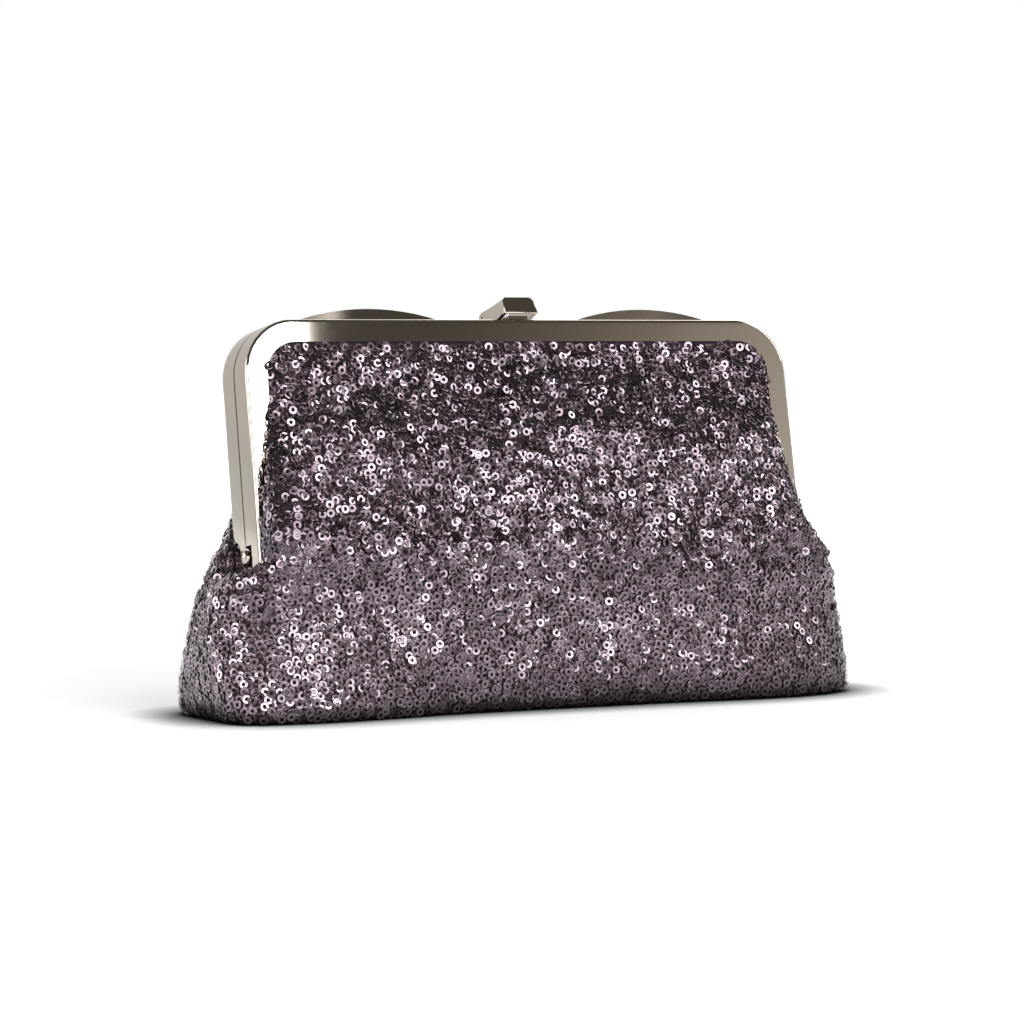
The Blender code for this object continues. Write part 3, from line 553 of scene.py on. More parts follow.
def built_mesh(name, builder, material=None):
    """The mesh that a builder holds. The builder ends here."""
    mesh = bpy.data.meshes.new(name)
    builder.to_mesh(mesh)
    builder.free()
    if material:
        mesh.materials.append(material)
    return mesh


def apply_modifiers(piece):
    """Turn a piece into the mesh that its modifiers give."""
    graph = bpy.context.evaluated_depsgraph_get()
    mesh = bpy.data.meshes.new_from_object(piece.evaluated_get(graph))
    piece.modifiers.clear()
    piece.data = mesh


def nickel():
    """The nickel finish, made when it is first asked for."""
    return bpy.data.materials.get("polished_nickel") or nickel_finish(bpy.context.scene.clutch_metal)


# Shape of the pouch

def read_stations(values, height):
    """A smooth curve through the stations, read at one height."""
    slopes = np.gradient(values, STATIONS)
    index = int(np.clip(np.searchsorted(STATIONS, height) - 1, 0, len(STATIONS) - 2))
    span = STATIONS[index + 1] - STATIONS[index]
    t = min(max((height - STATIONS[index]) / span, 0.0), 1.0)
    start, end = values[index], values[index + 1]
    bend = start * (2 * t**3 - 3 * t**2 + 1) + end * (3 * t**2 - 2 * t**3)
    return bend + span * (slopes[index] * (t**3 - 2 * t**2 + t) + slopes[index + 1] * (t**3 - t**2))


def ease(low, high, value):
    """0 below low, 1 above high and a smooth step between them."""
    t = min(max((value - low) / (high - low), 0.0), 1.0)
    return t * t * (3 - 2 * t)


def strip_edge(height):
    """Half the width of the frame's opening at a height over the hinge axis."""
    if height <= CORNER_HEIGHT:
        return FRAME_HALF - math.tan(FLARE) * height - STRIP
    rise = min(height - CORNER_HEIGHT, STRIP_CORNER)
    return CORNER_CENTRE + math.sqrt(STRIP_CORNER**2 - rise**2)


def middle_line(height):
    """A place on the middle line, with its lean. The line is upright at the table."""
    share = height / HINGE.z
    if share < 1:
        return Vector((0, HINGE.y * share, height)), LEAN * share**2
    above = height - HINGE.z
    return HINGE + Vector((0, math.sin(LEAN) * above, math.cos(LEAN) * above)), LEAN


def slice_points(side, height, inset=0.0):
    """One slice of the cloth as x and depth, from the left channel to the right one."""
    above = height - HINGE.z
    edge = strip_edge(above) - STRIP_GAP
    seam = ease(SEAM_LOW, SEAM_HIGH, height)
    raised = 1 - np.array((ease(LEFT_LIFT_LOW, LEFT_LIFT_HIGH, height), ease(LIFT_LOW, LIFT_HIGH, height)))
    rest = FRAME_FACE + STRIP_CLEAR
    behind = CHANNEL_DEPTH
    left_anchor, right_anchor = seam * (behind + (rest - behind) * raised) - inset * seam
    half = edge + STRIP_GAP + read_stations(OVERHANG, height) - inset
    if inset:
        half = min(half, edge + (half - edge) * (1 - seam))
    depths = FRONT_DEPTH if side < 0 else REAR_DEPTH
    depth = read_stations(depths, height) - inset
    power = read_stations(SQUARENESS, height)
    floor_pull = 1 - ease(0.0, BASE_EDGE, height)
    half -= floor_pull**2 * BASE_EDGE
    depth -= floor_pull**2 * BASE_EDGE
    turn = np.linspace(-math.pi / 2, math.pi / 2, SLICE_POINTS)
    if side < 0:
        power = power + LEFT_CORNER * (1 - ease(0.0, 0.6 * HINGE.z, height)) * (turn < 0)
    across = np.sign(np.sin(turn)) * np.abs(np.sin(turn)) ** (2 / power)
    out = np.cos(turn).clip(0) ** (2 / power)
    lopsided = read_stations(FRONT_LEFT if side < 0 else REAR_LEFT, height) * seam
    x = (half + lopsided * (turn < 0)) * across
    t = ((np.abs(x) - FLARE_START) / (FLARE_FULL - FLARE_START)).clip(0, 1)
    fuller = END_FLARE * (1 - ease(0.0, 0.7 * HINGE.z, height)) * t * t * (3 - 2 * t)
    anchor = np.where(turn < 0, left_anchor, right_anchor)
    v = anchor + (depth + fuller - anchor) * out
    close = edge if seam else half
    end_x = half + (close - half) * seam
    inner_x = end_x + CHANNEL_REACH * seam
    inner_v = (behind - inset) * seam
    before = [(-inner_x, inner_v), (-end_x, inner_v), (-end_x, left_anchor)]
    after = [(end_x, right_anchor), (end_x, inner_v), (inner_x, inner_v)]
    if height > HINGE.z + PANEL_TOP:
        v = np.full_like(v, inner_v)
    points = np.vstack([before, np.column_stack([x, v]), after])
    rise = min(height / HINGE.z, 1.0)
    points[:, 0] -= bpy.context.scene.clutch_cloth.sway * (1 - rise**2)
    return points


def resample(points, count):
    """Places at equal distances along a line of points."""
    steps = np.hypot(*np.diff(points, axis=0).T)
    along = np.concatenate([[0.0], np.cumsum(steps)])
    wanted = np.linspace(0.0, along[-1], count)
    return np.column_stack([np.interp(wanted, along, points[:, axis]) for axis in range(2)])


def slice_in_space(side, height, flat):
    """Places in the model of the points of one slice."""
    middle, lean = middle_line(height)
    places = np.empty((len(flat), 3))
    places[:, 0] = flat[:, 0]
    places[:, 1] = middle.y + side * flat[:, 1] * math.cos(lean)
    places[:, 2] = middle.z - side * flat[:, 1] * math.sin(lean)
    return places


def cloth_heights(low, high):
    """Heights of the rows, closer together where the cloth closes under the foot of the frame."""
    heights = []
    for start, end, step in ((low, SEAM_LOW, ROW_STEP), (SEAM_LOW, FOOT_ROWS, SEAM_STEP),
                             (FOOT_ROWS, high, ROW_STEP)):
        if start < high:
            count = max(round((min(end, high) - start) / step), 1)
            heights += list(np.linspace(start, min(end, high), count, endpoint=False))
    return heights + [high]


def cloth_grid(side, heights, inset=0.0, wave=None):
    """A grid of places on the cloth, in rows from the lowest height to the highest."""
    rows = []
    for height in heights:
        flat = resample(slice_points(side, height, inset), COLUMNS)
        if wave:
            calm = ease(0.0, CALM_LOW, height) * (1 - ease(*CALM_TOP, height))
            for spot in flat:
                fade = 1 - ease(*CALM_ENDS, abs(spot[0]))
                spot[1] += wave(side, spot[0], height) * calm * fade
        rows.append(slice_in_space(side, height, flat))
    return np.array(rows)


def ripples(side, x, height):
    """Soft unevenness of the outer cloth."""
    cloth = bpy.context.scene.clutch_cloth
    place = Vector((x / cloth.ripple_width, height / cloth.ripple_width, 3.0 * side))
    return cloth.ripple * noise.noise(place)


def pleats(side, x, height):
    """Soft upright pleats of the lining."""
    lining = bpy.context.scene.clutch_lining
    drift = noise.noise(Vector((x / lining.pleat_width / 3, height / lining.pleat_width / 3, side)))
    return lining.pleat * math.sin(2 * math.pi * (x / lining.pleat_width + drift))


def grid_object(name, grid, side, thickness, material):
    """A sheet through a grid of places, with its thickness on the inner side."""
    rows, columns = grid.shape[:2]
    builder = bmesh.new()
    verts = [builder.verts.new(place) for place in grid.reshape(-1, 3)]
    for row in range(rows - 1):
        for column in range(columns - 1):
            corner = row * columns + column
            ring = [verts[corner], verts[corner + 1], verts[corner + columns + 1], verts[corner + columns]]
            builder.faces.new(ring if side < 0 else list(reversed(ring)))
    bmesh.ops.remove_doubles(builder, verts=builder.verts, dist=MERGE)
    mesh = built_mesh(name, builder, material)
    mesh.shade_smooth()
    sheet = add_object(name, mesh)
    shell = sheet.modifiers.new("thickness", "SOLIDIFY")
    shell.thickness = thickness
    shell.offset = -1.0
    apply_modifiers(sheet)
    return sheet


def base_grid(inset, floor):
    """Places on the flat base, in lines from the front edge to the rear one."""
    front = resample(slice_points(-1, 0.0, inset), COLUMNS)
    rear = resample(slice_points(1, 0.0, inset), COLUMNS)
    lines = []
    for share in np.linspace(0.0, 1.0, BASE_LINES):
        x = front[:, 0] + (rear[:, 0] - front[:, 0]) * share
        y = -front[:, 1] + (rear[:, 1] + front[:, 1]) * share
        lines.append(np.column_stack([x, y, np.full(COLUMNS, floor)]))
    return np.array(lines)


def fold_with(piece):
    """Bake a cloth piece's placement into its own mesh."""
    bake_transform(piece)


class Cloth:
    """The grid of one side of the pouch, from which pieces take places and directions."""

    def __init__(self, side):
        self.side = side
        self.heights = cloth_heights(0.0, HINGE.z + PANEL_TOP)
        self.grid = cloth_grid(side, self.heights, wave=ripples)
        along = np.gradient(self.grid, axis=0)
        across = np.gradient(self.grid, axis=1)
        normal = np.cross(across, along) * (1 if side < 0 else -1)
        size = np.linalg.norm(normal, axis=2, keepdims=True)
        self.normal = normal / np.maximum(size, 1e-12)

    def read(self, field, row, column):
        """A value of the grid between its rows and columns."""
        i = min(int(row), field.shape[0] - 2)
        j = min(int(column), field.shape[1] - 2)
        a = row - i
        b = column - j
        low = field[i, j] * (1 - b) + field[i, j + 1] * b
        high = field[i + 1, j] * (1 - b) + field[i + 1, j + 1] * b
        return low * (1 - a) + high * a


# Sequins

def ring_template(settings):
    """Places and faces of one ring: outer edge, shoulder and inner edge."""
    count = settings.segments
    turn = np.arange(count) * 2 * math.pi / count
    circle = np.column_stack([np.cos(turn), np.sin(turn)])
    outer = settings.diameter / 2
    inner = settings.hole / 2
    rings = [(outer, 0.0), (outer - settings.rim, settings.ridge), (inner, settings.ridge * INNER_RISE)]
    places = np.vstack([np.column_stack([circle * radius, np.full(count, height)])
                        for radius, height in rings])
    faces = []
    for first, second in ((0, 1), (1, 2), (2, 0)):
        for i in range(count):
            j = (i + 1) % count
            faces.append((first * count + i, first * count + j, second * count + j, second * count + i))
    return places, np.array(faces)


def tilted_axes(normal, tilt_up, tilt_side, spin):
    """Axes of a sequin that leans from the cloth's own direction."""
    up = np.array((0.0, 0.0, 1.0))
    side = np.cross(up, normal)
    side = side / max(np.linalg.norm(side), 1e-9)
    top = np.cross(normal, side)
    facing = normal + math.tan(tilt_up) * top + math.tan(tilt_side) * side
    facing = facing / np.linalg.norm(facing)
    first = side - facing * side.dot(facing)
    first = first / np.linalg.norm(first)
    second = np.cross(facing, first)
    return np.array((math.cos(spin) * first + math.sin(spin) * second,
                     math.cos(spin) * second - math.sin(spin) * first, facing))


def run(places):
    """The way along a line of places, up to each of them."""
    return np.concatenate([[0.0], np.cumsum(np.linalg.norm(np.diff(places, axis=0), axis=1))])


def sewn_places(cloth, settings, random):
    """Where sequins sit on one side: place, direction of the cloth and height along the pouch."""
    climb = run(cloth.grid[:, COLUMNS // 2])
    step = settings.spacing * math.sin(math.pi / 3)
    found = []
    lines = [(distance, 0.0) for distance in np.arange(step / 2, climb[-1] - 0.4 * MM, step)]
    low, high = np.interp((SHOULDER_LOW, SHOULDER_HIGH), cloth.heights, climb)
    lines += [(distance, SHOULDER_IN) for distance in np.arange(low, high, step)]
    for line, (distance, keep_out) in enumerate(lines):
        row = np.interp(distance, climb, np.arange(len(climb)))
        along = run(np.array([cloth.read(cloth.grid, row, column) for column in range(COLUMNS)]))
        count = round(along[-1] / settings.spacing)
        for number in range(count):
            jitter = random.uniform(-JITTER, JITTER, 2) * settings.spacing
            spot = (number + FIRST_SHARE + 0.5 * (line % 2)) * along[-1] / count + jitter[0]
            column = np.interp(spot, along, np.arange(COLUMNS))
            high = np.interp(distance + jitter[1], climb, np.arange(len(climb)))
            place = cloth.read(cloth.grid, high, column)
            if abs(place[0]) >= keep_out:
                found.append((place, cloth.read(cloth.normal, high, column),
                              np.interp(high, np.arange(len(cloth.heights)), cloth.heights)))
    return found


def zone(value, span):
    """0 below the start of a span in mm, 1 above its end and a smooth step between them."""
    return ease(span[0] * MM, span[1] * MM, value)


def free_lie(cloth, place, normal, height, settings, random):
    """Tilt upward, tilt sideways and lift of a sequin that lies free."""
    sideways = ease(0.5, 0.9, abs(normal[0]))
    upward = ease(0.3, 0.7, normal[2])
    spread = settings.tilt * (0.55 + 0.35 * zone(height, LOWER_SPREAD)
                              + 0.15 * zone(height, UPPER_SPREAD))
    spread *= (0.7 + 0.6 * random.random()) * (0.6 + 0.4 * zone(height, LOOSENING))
    spread *= 1 - 0.5 * max(sideways * (1 - zone(height, UNDER_SHELF)), upward)
    patch = noise.noise(Vector((place[0] / PATCH_WIDTH, height / PATCH_HEIGHT, cloth.side)))
    droop = LOW_DROOP * (1 - zone(height, HANGING)) + HIGH_RISE * zone(height, LEANING)
    droop += SHOULDER_DROOP * upward
    tilt_up = droop + PATCH_TILT * patch * zone(height, PATCHES) + random.normal(0, spread)
    tilt_side = random.normal(0, spread)
    return tilt_up, tilt_side, settings.lift + settings.loose * random.random() ** 2


def shade_at(cloth, place, height, random):
    """How light a sequin is: its own random tone, with painted light and shade by height and in soft creases, and
    a painted shadow at the foot.
    """
    # Painted light and shade: each height has a lighter or darker middle, as the light falls on the bag
    middle = np.interp(height, PAINTED_SHADE_HEIGHTS, PAINTED_SHADE_MIDDLES)
    # Painted light: lighter sequins at the upper left, where the lamp's glints gather
    middle += 0.13 * zone(height, PAINTED_LIGHT_LEFT) * (1 - zone(place[0], PAINTED_LIGHT_ACROSS))
    width = 0.75 + 0.15 * zone(height, LIVELY) - 0.15 * zone(height, CALMER)
    shade = max(middle + (random.beta(*SHADE_DRAW) - SHADE_MEAN) * width, 0.0)
    # Painted light and shade of soft creases low on the cloth
    crease_shade = noise.noise(Vector((place[0] / PAINTED_CREASE_WIDTH, height / PAINTED_CREASE_HEIGHT, 2 + cloth.side)))
    shade *= 1 + PAINTED_CREASE_SHADE * crease_shade * (1 - zone(height, PAINTED_CREASE_FADE))
    # Painted shadow: sequins darken towards the table, most from the middle to the right
    foot_shadow_share = 0.35 + 0.65 * zone(place[0], PAINTED_FOOT_SHADOW_ACROSS)
    return shade * (1 - PAINTED_FOOT_SHADOW * (1 - zone(height, PAINTED_FOOT_SHADOW_HEIGHTS)) * foot_shadow_share)


def dress_side(cloth, settings, random):
    """Centres, axes, tones with painted light and shade, and gloss of all sequins of one side."""
    rings = []
    reach = settings.diameter / 2
    for place, normal, height in sewn_places(cloth, settings, random):
        upright = Matrix.Rotation(LEAN, 3, "X") @ (Vector(place) - HINGE)
        depth = cloth.side * upright.y
        edge = strip_edge(upright.z) - abs(upright.x)
        under_top = PANEL_TOP - upright.z
        past_leg = -edge - STRIP
        near = min(max(edge, past_leg), under_top)
        behind_strip = upright.z > FOOT and edge < EDGE_CLEAR and depth < FRAME_FACE + EDGE_CLEAR
        ledge = cloth.side * normal[1] < LEDGE
        if under_top < EDGE_CLEAR or behind_strip or ledge and past_leg < 0:
            continue
        tilt_up, tilt_side, lift = free_lie(cloth, place, normal, height, settings, random)
        draw = random.random()
        if near < reach and upright.z > FOOT:
            calm = 0.1 if ledge else 0.3
            if ledge:
                lift = 0.15 * MM + 0.1 * MM * draw
            elif edge < 0 or draw < LOOSE_AT_EDGE:
                lift = max(lift, FRAME_FACE + OVER_STRIP - depth)
            elif depth < FRAME_FACE + MM:
                lift = 0.2 * MM + 0.2 * MM * draw
            tilt_up *= calm
            tilt_side *= calm
        tilts = [min(max(tilt, -MOST_TILT), MOST_TILT) for tilt in (tilt_up, tilt_side)]
        axes = tilted_axes(normal, *tilts, random.uniform(0, 2 * math.pi))
        centre = place + normal * lift
        drop = reach * math.sqrt(max(1 - axes[2][2]**2, 0.0))
        centre[2] = max(centre[2], drop + TABLE_CLEAR)
        shade = shade_at(cloth, place, height, random)
        # Painted shade: sequins facing sideways above the hinge, and those near the strip's edge, are darkened as
        # if shaded by the frame
        if upright.z > 0:
            shade *= 1 - 0.75 * ease(0.45, 0.85, abs(normal[0]))
            shade *= 0.45 + 0.55 * ease(0.0, settings.diameter, near)
        rings.append((centre, axes, shade, random.random()))
    return rings


def dress_base(grid, settings, random):
    """Sequins that lie flat under the base."""
    low = grid[:, :, :2].reshape(-1, 2).min(0)
    high = grid[:, :, :2].reshape(-1, 2).max(0)
    outline = [Vector(place[:2]) for place in grid[0]] + [Vector(place[:2]) for place in reversed(grid[-1])]
    rings = []
    step = settings.spacing * math.sin(math.pi / 3)
    for line, y in enumerate(np.arange(low[1], high[1], step)):
        for x in np.arange(low[0], high[0], settings.spacing):
            jitter = Vector(random.uniform(-BASE_JITTER, BASE_JITTER, 2) * MM)
            spot = Vector((x + (line % 2) * settings.spacing / 2, y)) + jitter
            draws = random.random(4)
            if not inside(spot, outline):
                continue
            axes = tilted_axes(np.array((0.0, 0.0, -1.0)) + 1e-3, (draws[0] - 0.5) * BASE_TILT,
                               (draws[1] - 0.5) * BASE_TILT, draws[2] * math.pi)
            place = np.array((spot.x, spot.y, grid[0, 0, 2] - BASE_DROP))
            rings.append((place, axes, draws[3] * 0.5, draws[2]))
    return rings


def inside(spot, outline):
    """Whether a place is inside a closed outline."""
    crossings = 0
    for first, second in zip(outline, outline[1:] + outline[:1]):
        if (first.y > spot.y) != (second.y > spot.y):
            x = first.x + (spot.y - first.y) * (second.x - first.x) / (second.y - first.y)
            crossings += x > spot.x
    return crossings % 2 == 1


def ring_object(name, rings, settings, material):
    """One mesh that holds many rings, with a tone that carries painted light and shade, and a gloss for each."""
    places, faces = ring_template(settings)
    count = len(rings)
    centres = np.array([ring[0] for ring in rings])
    axes = np.array([ring[1] for ring in rings])
    points = np.einsum("pk,nkc->npc", places, axes) + centres[:, None, :]
    all_faces = faces[None] + (np.arange(count) * len(places))[:, None, None]
    mesh = bpy.data.meshes.new(name)
    mesh.from_pydata(points.reshape(-1, 3).tolist(), [], all_faces.reshape(-1, 4).tolist())
    for label, index in (("shade", 2), ("gloss", 3)):
        values = np.repeat(np.array([ring[index] for ring in rings], np.float32), len(places))
        mesh.attributes.new(label, "FLOAT", "POINT").data.foreach_set("value", values)
    reach = np.hypot(places[:, 0], places[:, 1]) / (settings.diameter / 2)
    mesh.attributes.new("reach", "FLOAT", "POINT").data.foreach_set("value", np.tile(reach, count))
    lay_bake_map(mesh, places, faces, count, settings)
    mesh.materials.append(material)
    mesh.shade_smooth()
    mesh.set_sharp_from_angle(angle=RIM_ANGLE)
    return add_object(name, mesh)


def lay_bake_map(mesh, places, faces, count, settings):
    """Give each ring a square of its own on the map, with its back beside its face."""
    across = math.ceil(math.sqrt(count * 2))
    flat = places[:, :2] / (settings.diameter * MAP_SQUARE) + 0.5
    sides = settings.segments
    loops = flat[faces].reshape(-1, 2)
    back = np.arange(len(faces)).repeat(4) >= 2 * sides
    ring = np.arange(count)[:, None]
    cell = 2 * ring + back[None, :]
    corner = np.stack([cell % across, cell // across], axis=-1)
    spots = (corner + loops[None]) / across
    layer = mesh.uv_layers.new(name="OFBake")
    layer.data.foreach_set("uv", spots.reshape(-1).astype(np.float32))


# Metal

def from_outline(place):
    """How far inside the frame's outer outline a place of the upright frame lies."""
    if place.z <= CORNER_HEIGHT:
        return FRAME_HALF - math.tan(FLARE) * place.z - abs(place.x)
    return CORNER - math.hypot(max(abs(place.x) - CORNER_CENTRE, 0.0), place.z - CORNER_HEIGHT)


def on_parting(end):
    """Whether a place of the upright frame is on the outer edge where the two halves meet."""
    return abs(end.y) < 0.05 * MM and end.z > -FOOT and from_outline(end) < SHEET / 2


def weigh_edges(builder, rounding, parting):
    """Mark the sharp edges for breaking, and more so the outer edge where the two halves meet."""
    weight = builder.edges.layers.float.new("bevel_weight_edge")
    turn = Matrix.Rotation(LEAN, 3, "X")
    for edge in builder.edges:
        if edge.calc_face_angle(0.0) < BREAK_ANGLE:
            continue
        edge[weight] = rounding / max(rounding, parting)
        if parting:
            ends = [turn @ (vert.co - HINGE) for vert in edge.verts]
            if all(on_parting(end) for end in ends):
                rise = max(end.z for end in ends)
                edge[weight] += (1 - edge[weight]) * (1 - ease(CORNER_HEIGHT, RAIL_TOP - MM, rise))


def polished_copy(node, rounding, material, parting=0.0):
    """A metal node's shape with its edges broken, ready for its finish."""
    builder = bmesh.new()
    builder.from_mesh(frame["nodes"][node].data)
    bmesh.ops.remove_doubles(builder, verts=builder.verts, dist=METAL_MERGE)
    bmesh.ops.dissolve_limit(builder, angle_limit=FLAT_ANGLE, verts=builder.verts, edges=builder.edges)
    weigh_edges(builder, rounding, parting)
    mesh = built_mesh(node + "_finish", builder, material)
    mesh.shade_smooth()
    piece = add_object(node + "_finish", mesh)
    edge = piece.modifiers.new("edges", "BEVEL")
    edge.width = max(rounding, parting)
    edge.segments = 3
    edge.limit_method = "WEIGHT"
    edge.use_clamp_overlap = True
    apply_modifiers(piece)
    flatten_faces(piece)
    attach(piece, body_of_node(node))
    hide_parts(node)
    return piece


def flatten_faces(piece):
    """Let the large flat faces mirror as flat ones, and keep the gradient in the rounded edges."""
    piece.data.set_sharp_from_angle(angle=SMOOTH_ANGLE)
    flat = piece.modifiers.new("flat", "WEIGHTED_NORMAL")
    flat.keep_sharp = True
    flat.weight = 100
    apply_modifiers(piece)


def stand_upright(builder):
    """Turn a shape drawn over the hinge axis to the frame's lean, and put it in its place."""
    bmesh.ops.transform(builder, matrix=Matrix.Translation(HINGE) @ Matrix.Rotation(-LEAN, 4, "X"),
                        verts=builder.verts)


def block(first, second):
    """A block between two like outlines of places."""
    builder = bmesh.new()
    sides = [[builder.verts.new(place) for place in outline] for outline in (first, second)]
    for side in sides:
        builder.faces.new(side)
    for i in range(len(first)):
        j = (i + 1) % len(first)
        builder.faces.new((sides[0][i], sides[0][j], sides[1][j], sides[1][i]))
    bmesh.ops.recalc_face_normals(builder, faces=builder.faces)
    return builder


def prism(outline, half_width):
    """A block across the clutch, whose outline is of depth and height."""
    return block(*([(x, depth, height) for depth, height in outline] for x in (-half_width, half_width)))


def cut_away(piece, builder):
    """Take a cutter's shape out of a piece."""
    stand_upright(builder)
    cutter = add_object("cutter", built_mesh("cutter", builder))
    cut = piece.modifiers.new("cut", "BOOLEAN")
    cut.operation = "DIFFERENCE"
    cut.solver = "EXACT"
    cut.object = cutter
    apply_modifiers(piece)
    bpy.data.objects.remove(cutter)


def body_of_node(node):
    for body, members in frame["record"]["behaviour"]["bodies"].items():
        if node in members:
            return body
    raise ValueError("no body holds " + node)


def repaint(node, material):
    """Give a node of the frame its finish."""
    mesh = frame["nodes"][node].data
    mesh.materials.clear()
    mesh.materials.append(material)


# Operators

class CLUTCH_OT_cloth(bpy.types.Operator):
    """Knit the ground cloth of the front, the rear and the base"""

    bl_idname = "clutch.cloth"
    bl_label = "Ground Cloth"

    def execute(self, context):
        settings = context.scene.clutch_cloth
        material = knit_finish(settings)
        for name, side in SIDES:
            heights = cloth_heights(0.0, HINGE.z + PANEL_TOP)
            heights.append(HINGE.z + PANEL_TOP + CHANNEL_REACH)
            grid = cloth_grid(side, heights, wave=ripples)
            grid[:, :, 2] = np.maximum(grid[:, :, 2], BASE_LIFT)
            piece = grid_object(name + "_ground_cloth", grid, side, settings.thickness, material)
            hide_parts(name + "_panel", name + "_belly")
            fold_with(piece)
        base = grid_object("base_ground_cloth", base_grid(0.0, BASE_LIFT), 1, settings.thickness, material)
        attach(base, "pouch")
        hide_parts("base_shell")
        return {"FINISHED"}


class CLUTCH_OT_sequins(bpy.types.Operator):
    """Sew ring sequins on the ground cloth"""

    bl_idname = "clutch.sequins"
    bl_label = "Sequins"

    most = 2600

    def sew(self, name, rings, settings, material):
        """Give the rings in pieces, so that none grows too large."""
        for number, start in enumerate(range(0, len(rings), self.most)):
            piece = ring_object(f"{name}_sequins_{number + 1}", rings[start:start + self.most],
                                settings, material)
            yield piece

    def execute(self, context):
        settings = context.scene.clutch_sequins
        material = sequin_finish(settings)
        random = np.random.default_rng(settings.seed)
        for name, side in SIDES:
            for piece in self.sew(name, dress_side(Cloth(side), settings, random), settings, material):
                fold_with(piece)
        rings = dress_base(base_grid(0.0, BASE_LIFT), settings, random)
        for piece in self.sew("base", rings, settings, material):
            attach(piece, "pouch")
        return {"FINISHED"}


class CLUTCH_OT_lining(bpy.types.Operator):
    """Hang the satin lining inside the pouch"""

    bl_idname = "clutch.lining"
    bl_label = "Lining"

    def execute(self, context):
        settings = context.scene.clutch_lining
        material = satin_finish(settings)
        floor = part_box("lining_tub")[0].z + 0.3 * MM
        for name, side in SIDES:
            heights = cloth_heights(floor, HINGE.z + PANEL_TOP + CHANNEL_REACH)
            grid = cloth_grid(side, heights, settings.inset, pleats)
            piece = grid_object(name + "_satin", grid, side, settings.thickness, material)
            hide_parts(name + "_lining", name + "_belly_lining")
            fold_with(piece)
        base = grid_object("base_satin", base_grid(settings.inset, floor), 1, settings.thickness, material)
        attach(base, "pouch")
        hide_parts("lining_tub")
        return {"FINISHED"}


class CLUTCH_OT_padding(bpy.types.Operator):
    """Lay the felt between cloth and lining, and finish the board under it"""

    bl_idname = "clutch.padding"
    bl_label = "Felt and Board"

    inset = 1.7 * MM
    thickness = 1.1 * MM
    top = 31.0 * MM

    def execute(self, context):
        material = fibre_finish("grey_felt", (0.36, 0.35, 0.36), 0.5 * MM, 0.2 * MM, 0.98)
        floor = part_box("pouch_padding")[0].z + self.thickness
        for name, side in SIDES:
            grid = cloth_grid(side, cloth_heights(floor, self.top), self.inset)
            piece = grid_object(name + "_felt", grid, side, self.thickness, material)
            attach(piece, "pouch")
            if side < 0:
                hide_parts("pouch_padding")
        repaint("base_board", fibre_finish("grey_board", (0.42, 0.40, 0.37), 0.3 * MM, 0.05 * MM, 0.9))
        return {"FINISHED"}


class CLUTCH_OT_cords(bpy.types.Operator):
    """Wind the paper cords that wedge the cloth in the channels"""

    bl_idname = "clutch.cords"
    bl_label = "Paper Cords"

    strand = 0.36 * MM
    pitch = 6.0 * MM
    foot = 8.0 * MM
    steps = 10

    def route(self):
        """Half the outline of the frame, as x and height, inside the channel."""
        points = []
        top = RAIL_TOP - CORD_EDGE
        for height in np.linspace(self.foot, CORNER_HEIGHT, 20):
            points.append((FRAME_HALF - math.tan(FLARE) * height - CORD_EDGE, height))
        for turn in np.linspace(0, math.pi / 2, 14)[1:]:
            radius = CORNER - CORD_EDGE
            points.append((CORNER_CENTRE + radius * math.cos(turn), CORNER_HEIGHT + radius * math.sin(turn)))
        for x in np.linspace(CORNER_CENTRE, 0, 30)[1:]:
            points.append((x, top))
        return points

    def execute(self, context):
        material = fibre_finish("twisted_paper", (0.62, 0.53, 0.40), 0.2 * MM, 0.08 * MM, 0.9)
        half = self.route()
        whole = np.array(half + [(-x, height) for x, height in reversed(half[:-1])])
        length = np.hypot(*np.diff(whole, axis=0).T).sum()
        line = resample(whole, round(length / self.pitch * self.steps))
        for name, side in SIDES:
            curve = bpy.data.curves.new(name + "_paper_twine", "CURVE")
            curve.dimensions = "3D"
            curve.bevel_depth = self.strand
            curve.bevel_resolution = 1
            curve.use_fill_caps = True
            for start in (0.0, math.pi):
                spline = curve.splines.new("POLY")
                spline.points.add(len(line) - 1)
                for index, (x, height) in enumerate(line):
                    turn = start + 2 * math.pi * index / self.steps
                    middle, lean = middle_line(HINGE.z + height + self.strand * math.sin(turn))
                    depth = side * (CORD_DEPTH + self.strand * math.cos(turn))
                    place = (x, middle.y + depth * math.cos(lean), middle.z - depth * math.sin(lean))
                    spline.points[index].co = (*place, 1)
            curve.materials.append(material)
            piece = add_object(name + "_paper_twine", curve)
            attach(piece, name + "_half")
            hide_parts(name + "_paper_cord")
        return {"FINISHED"}


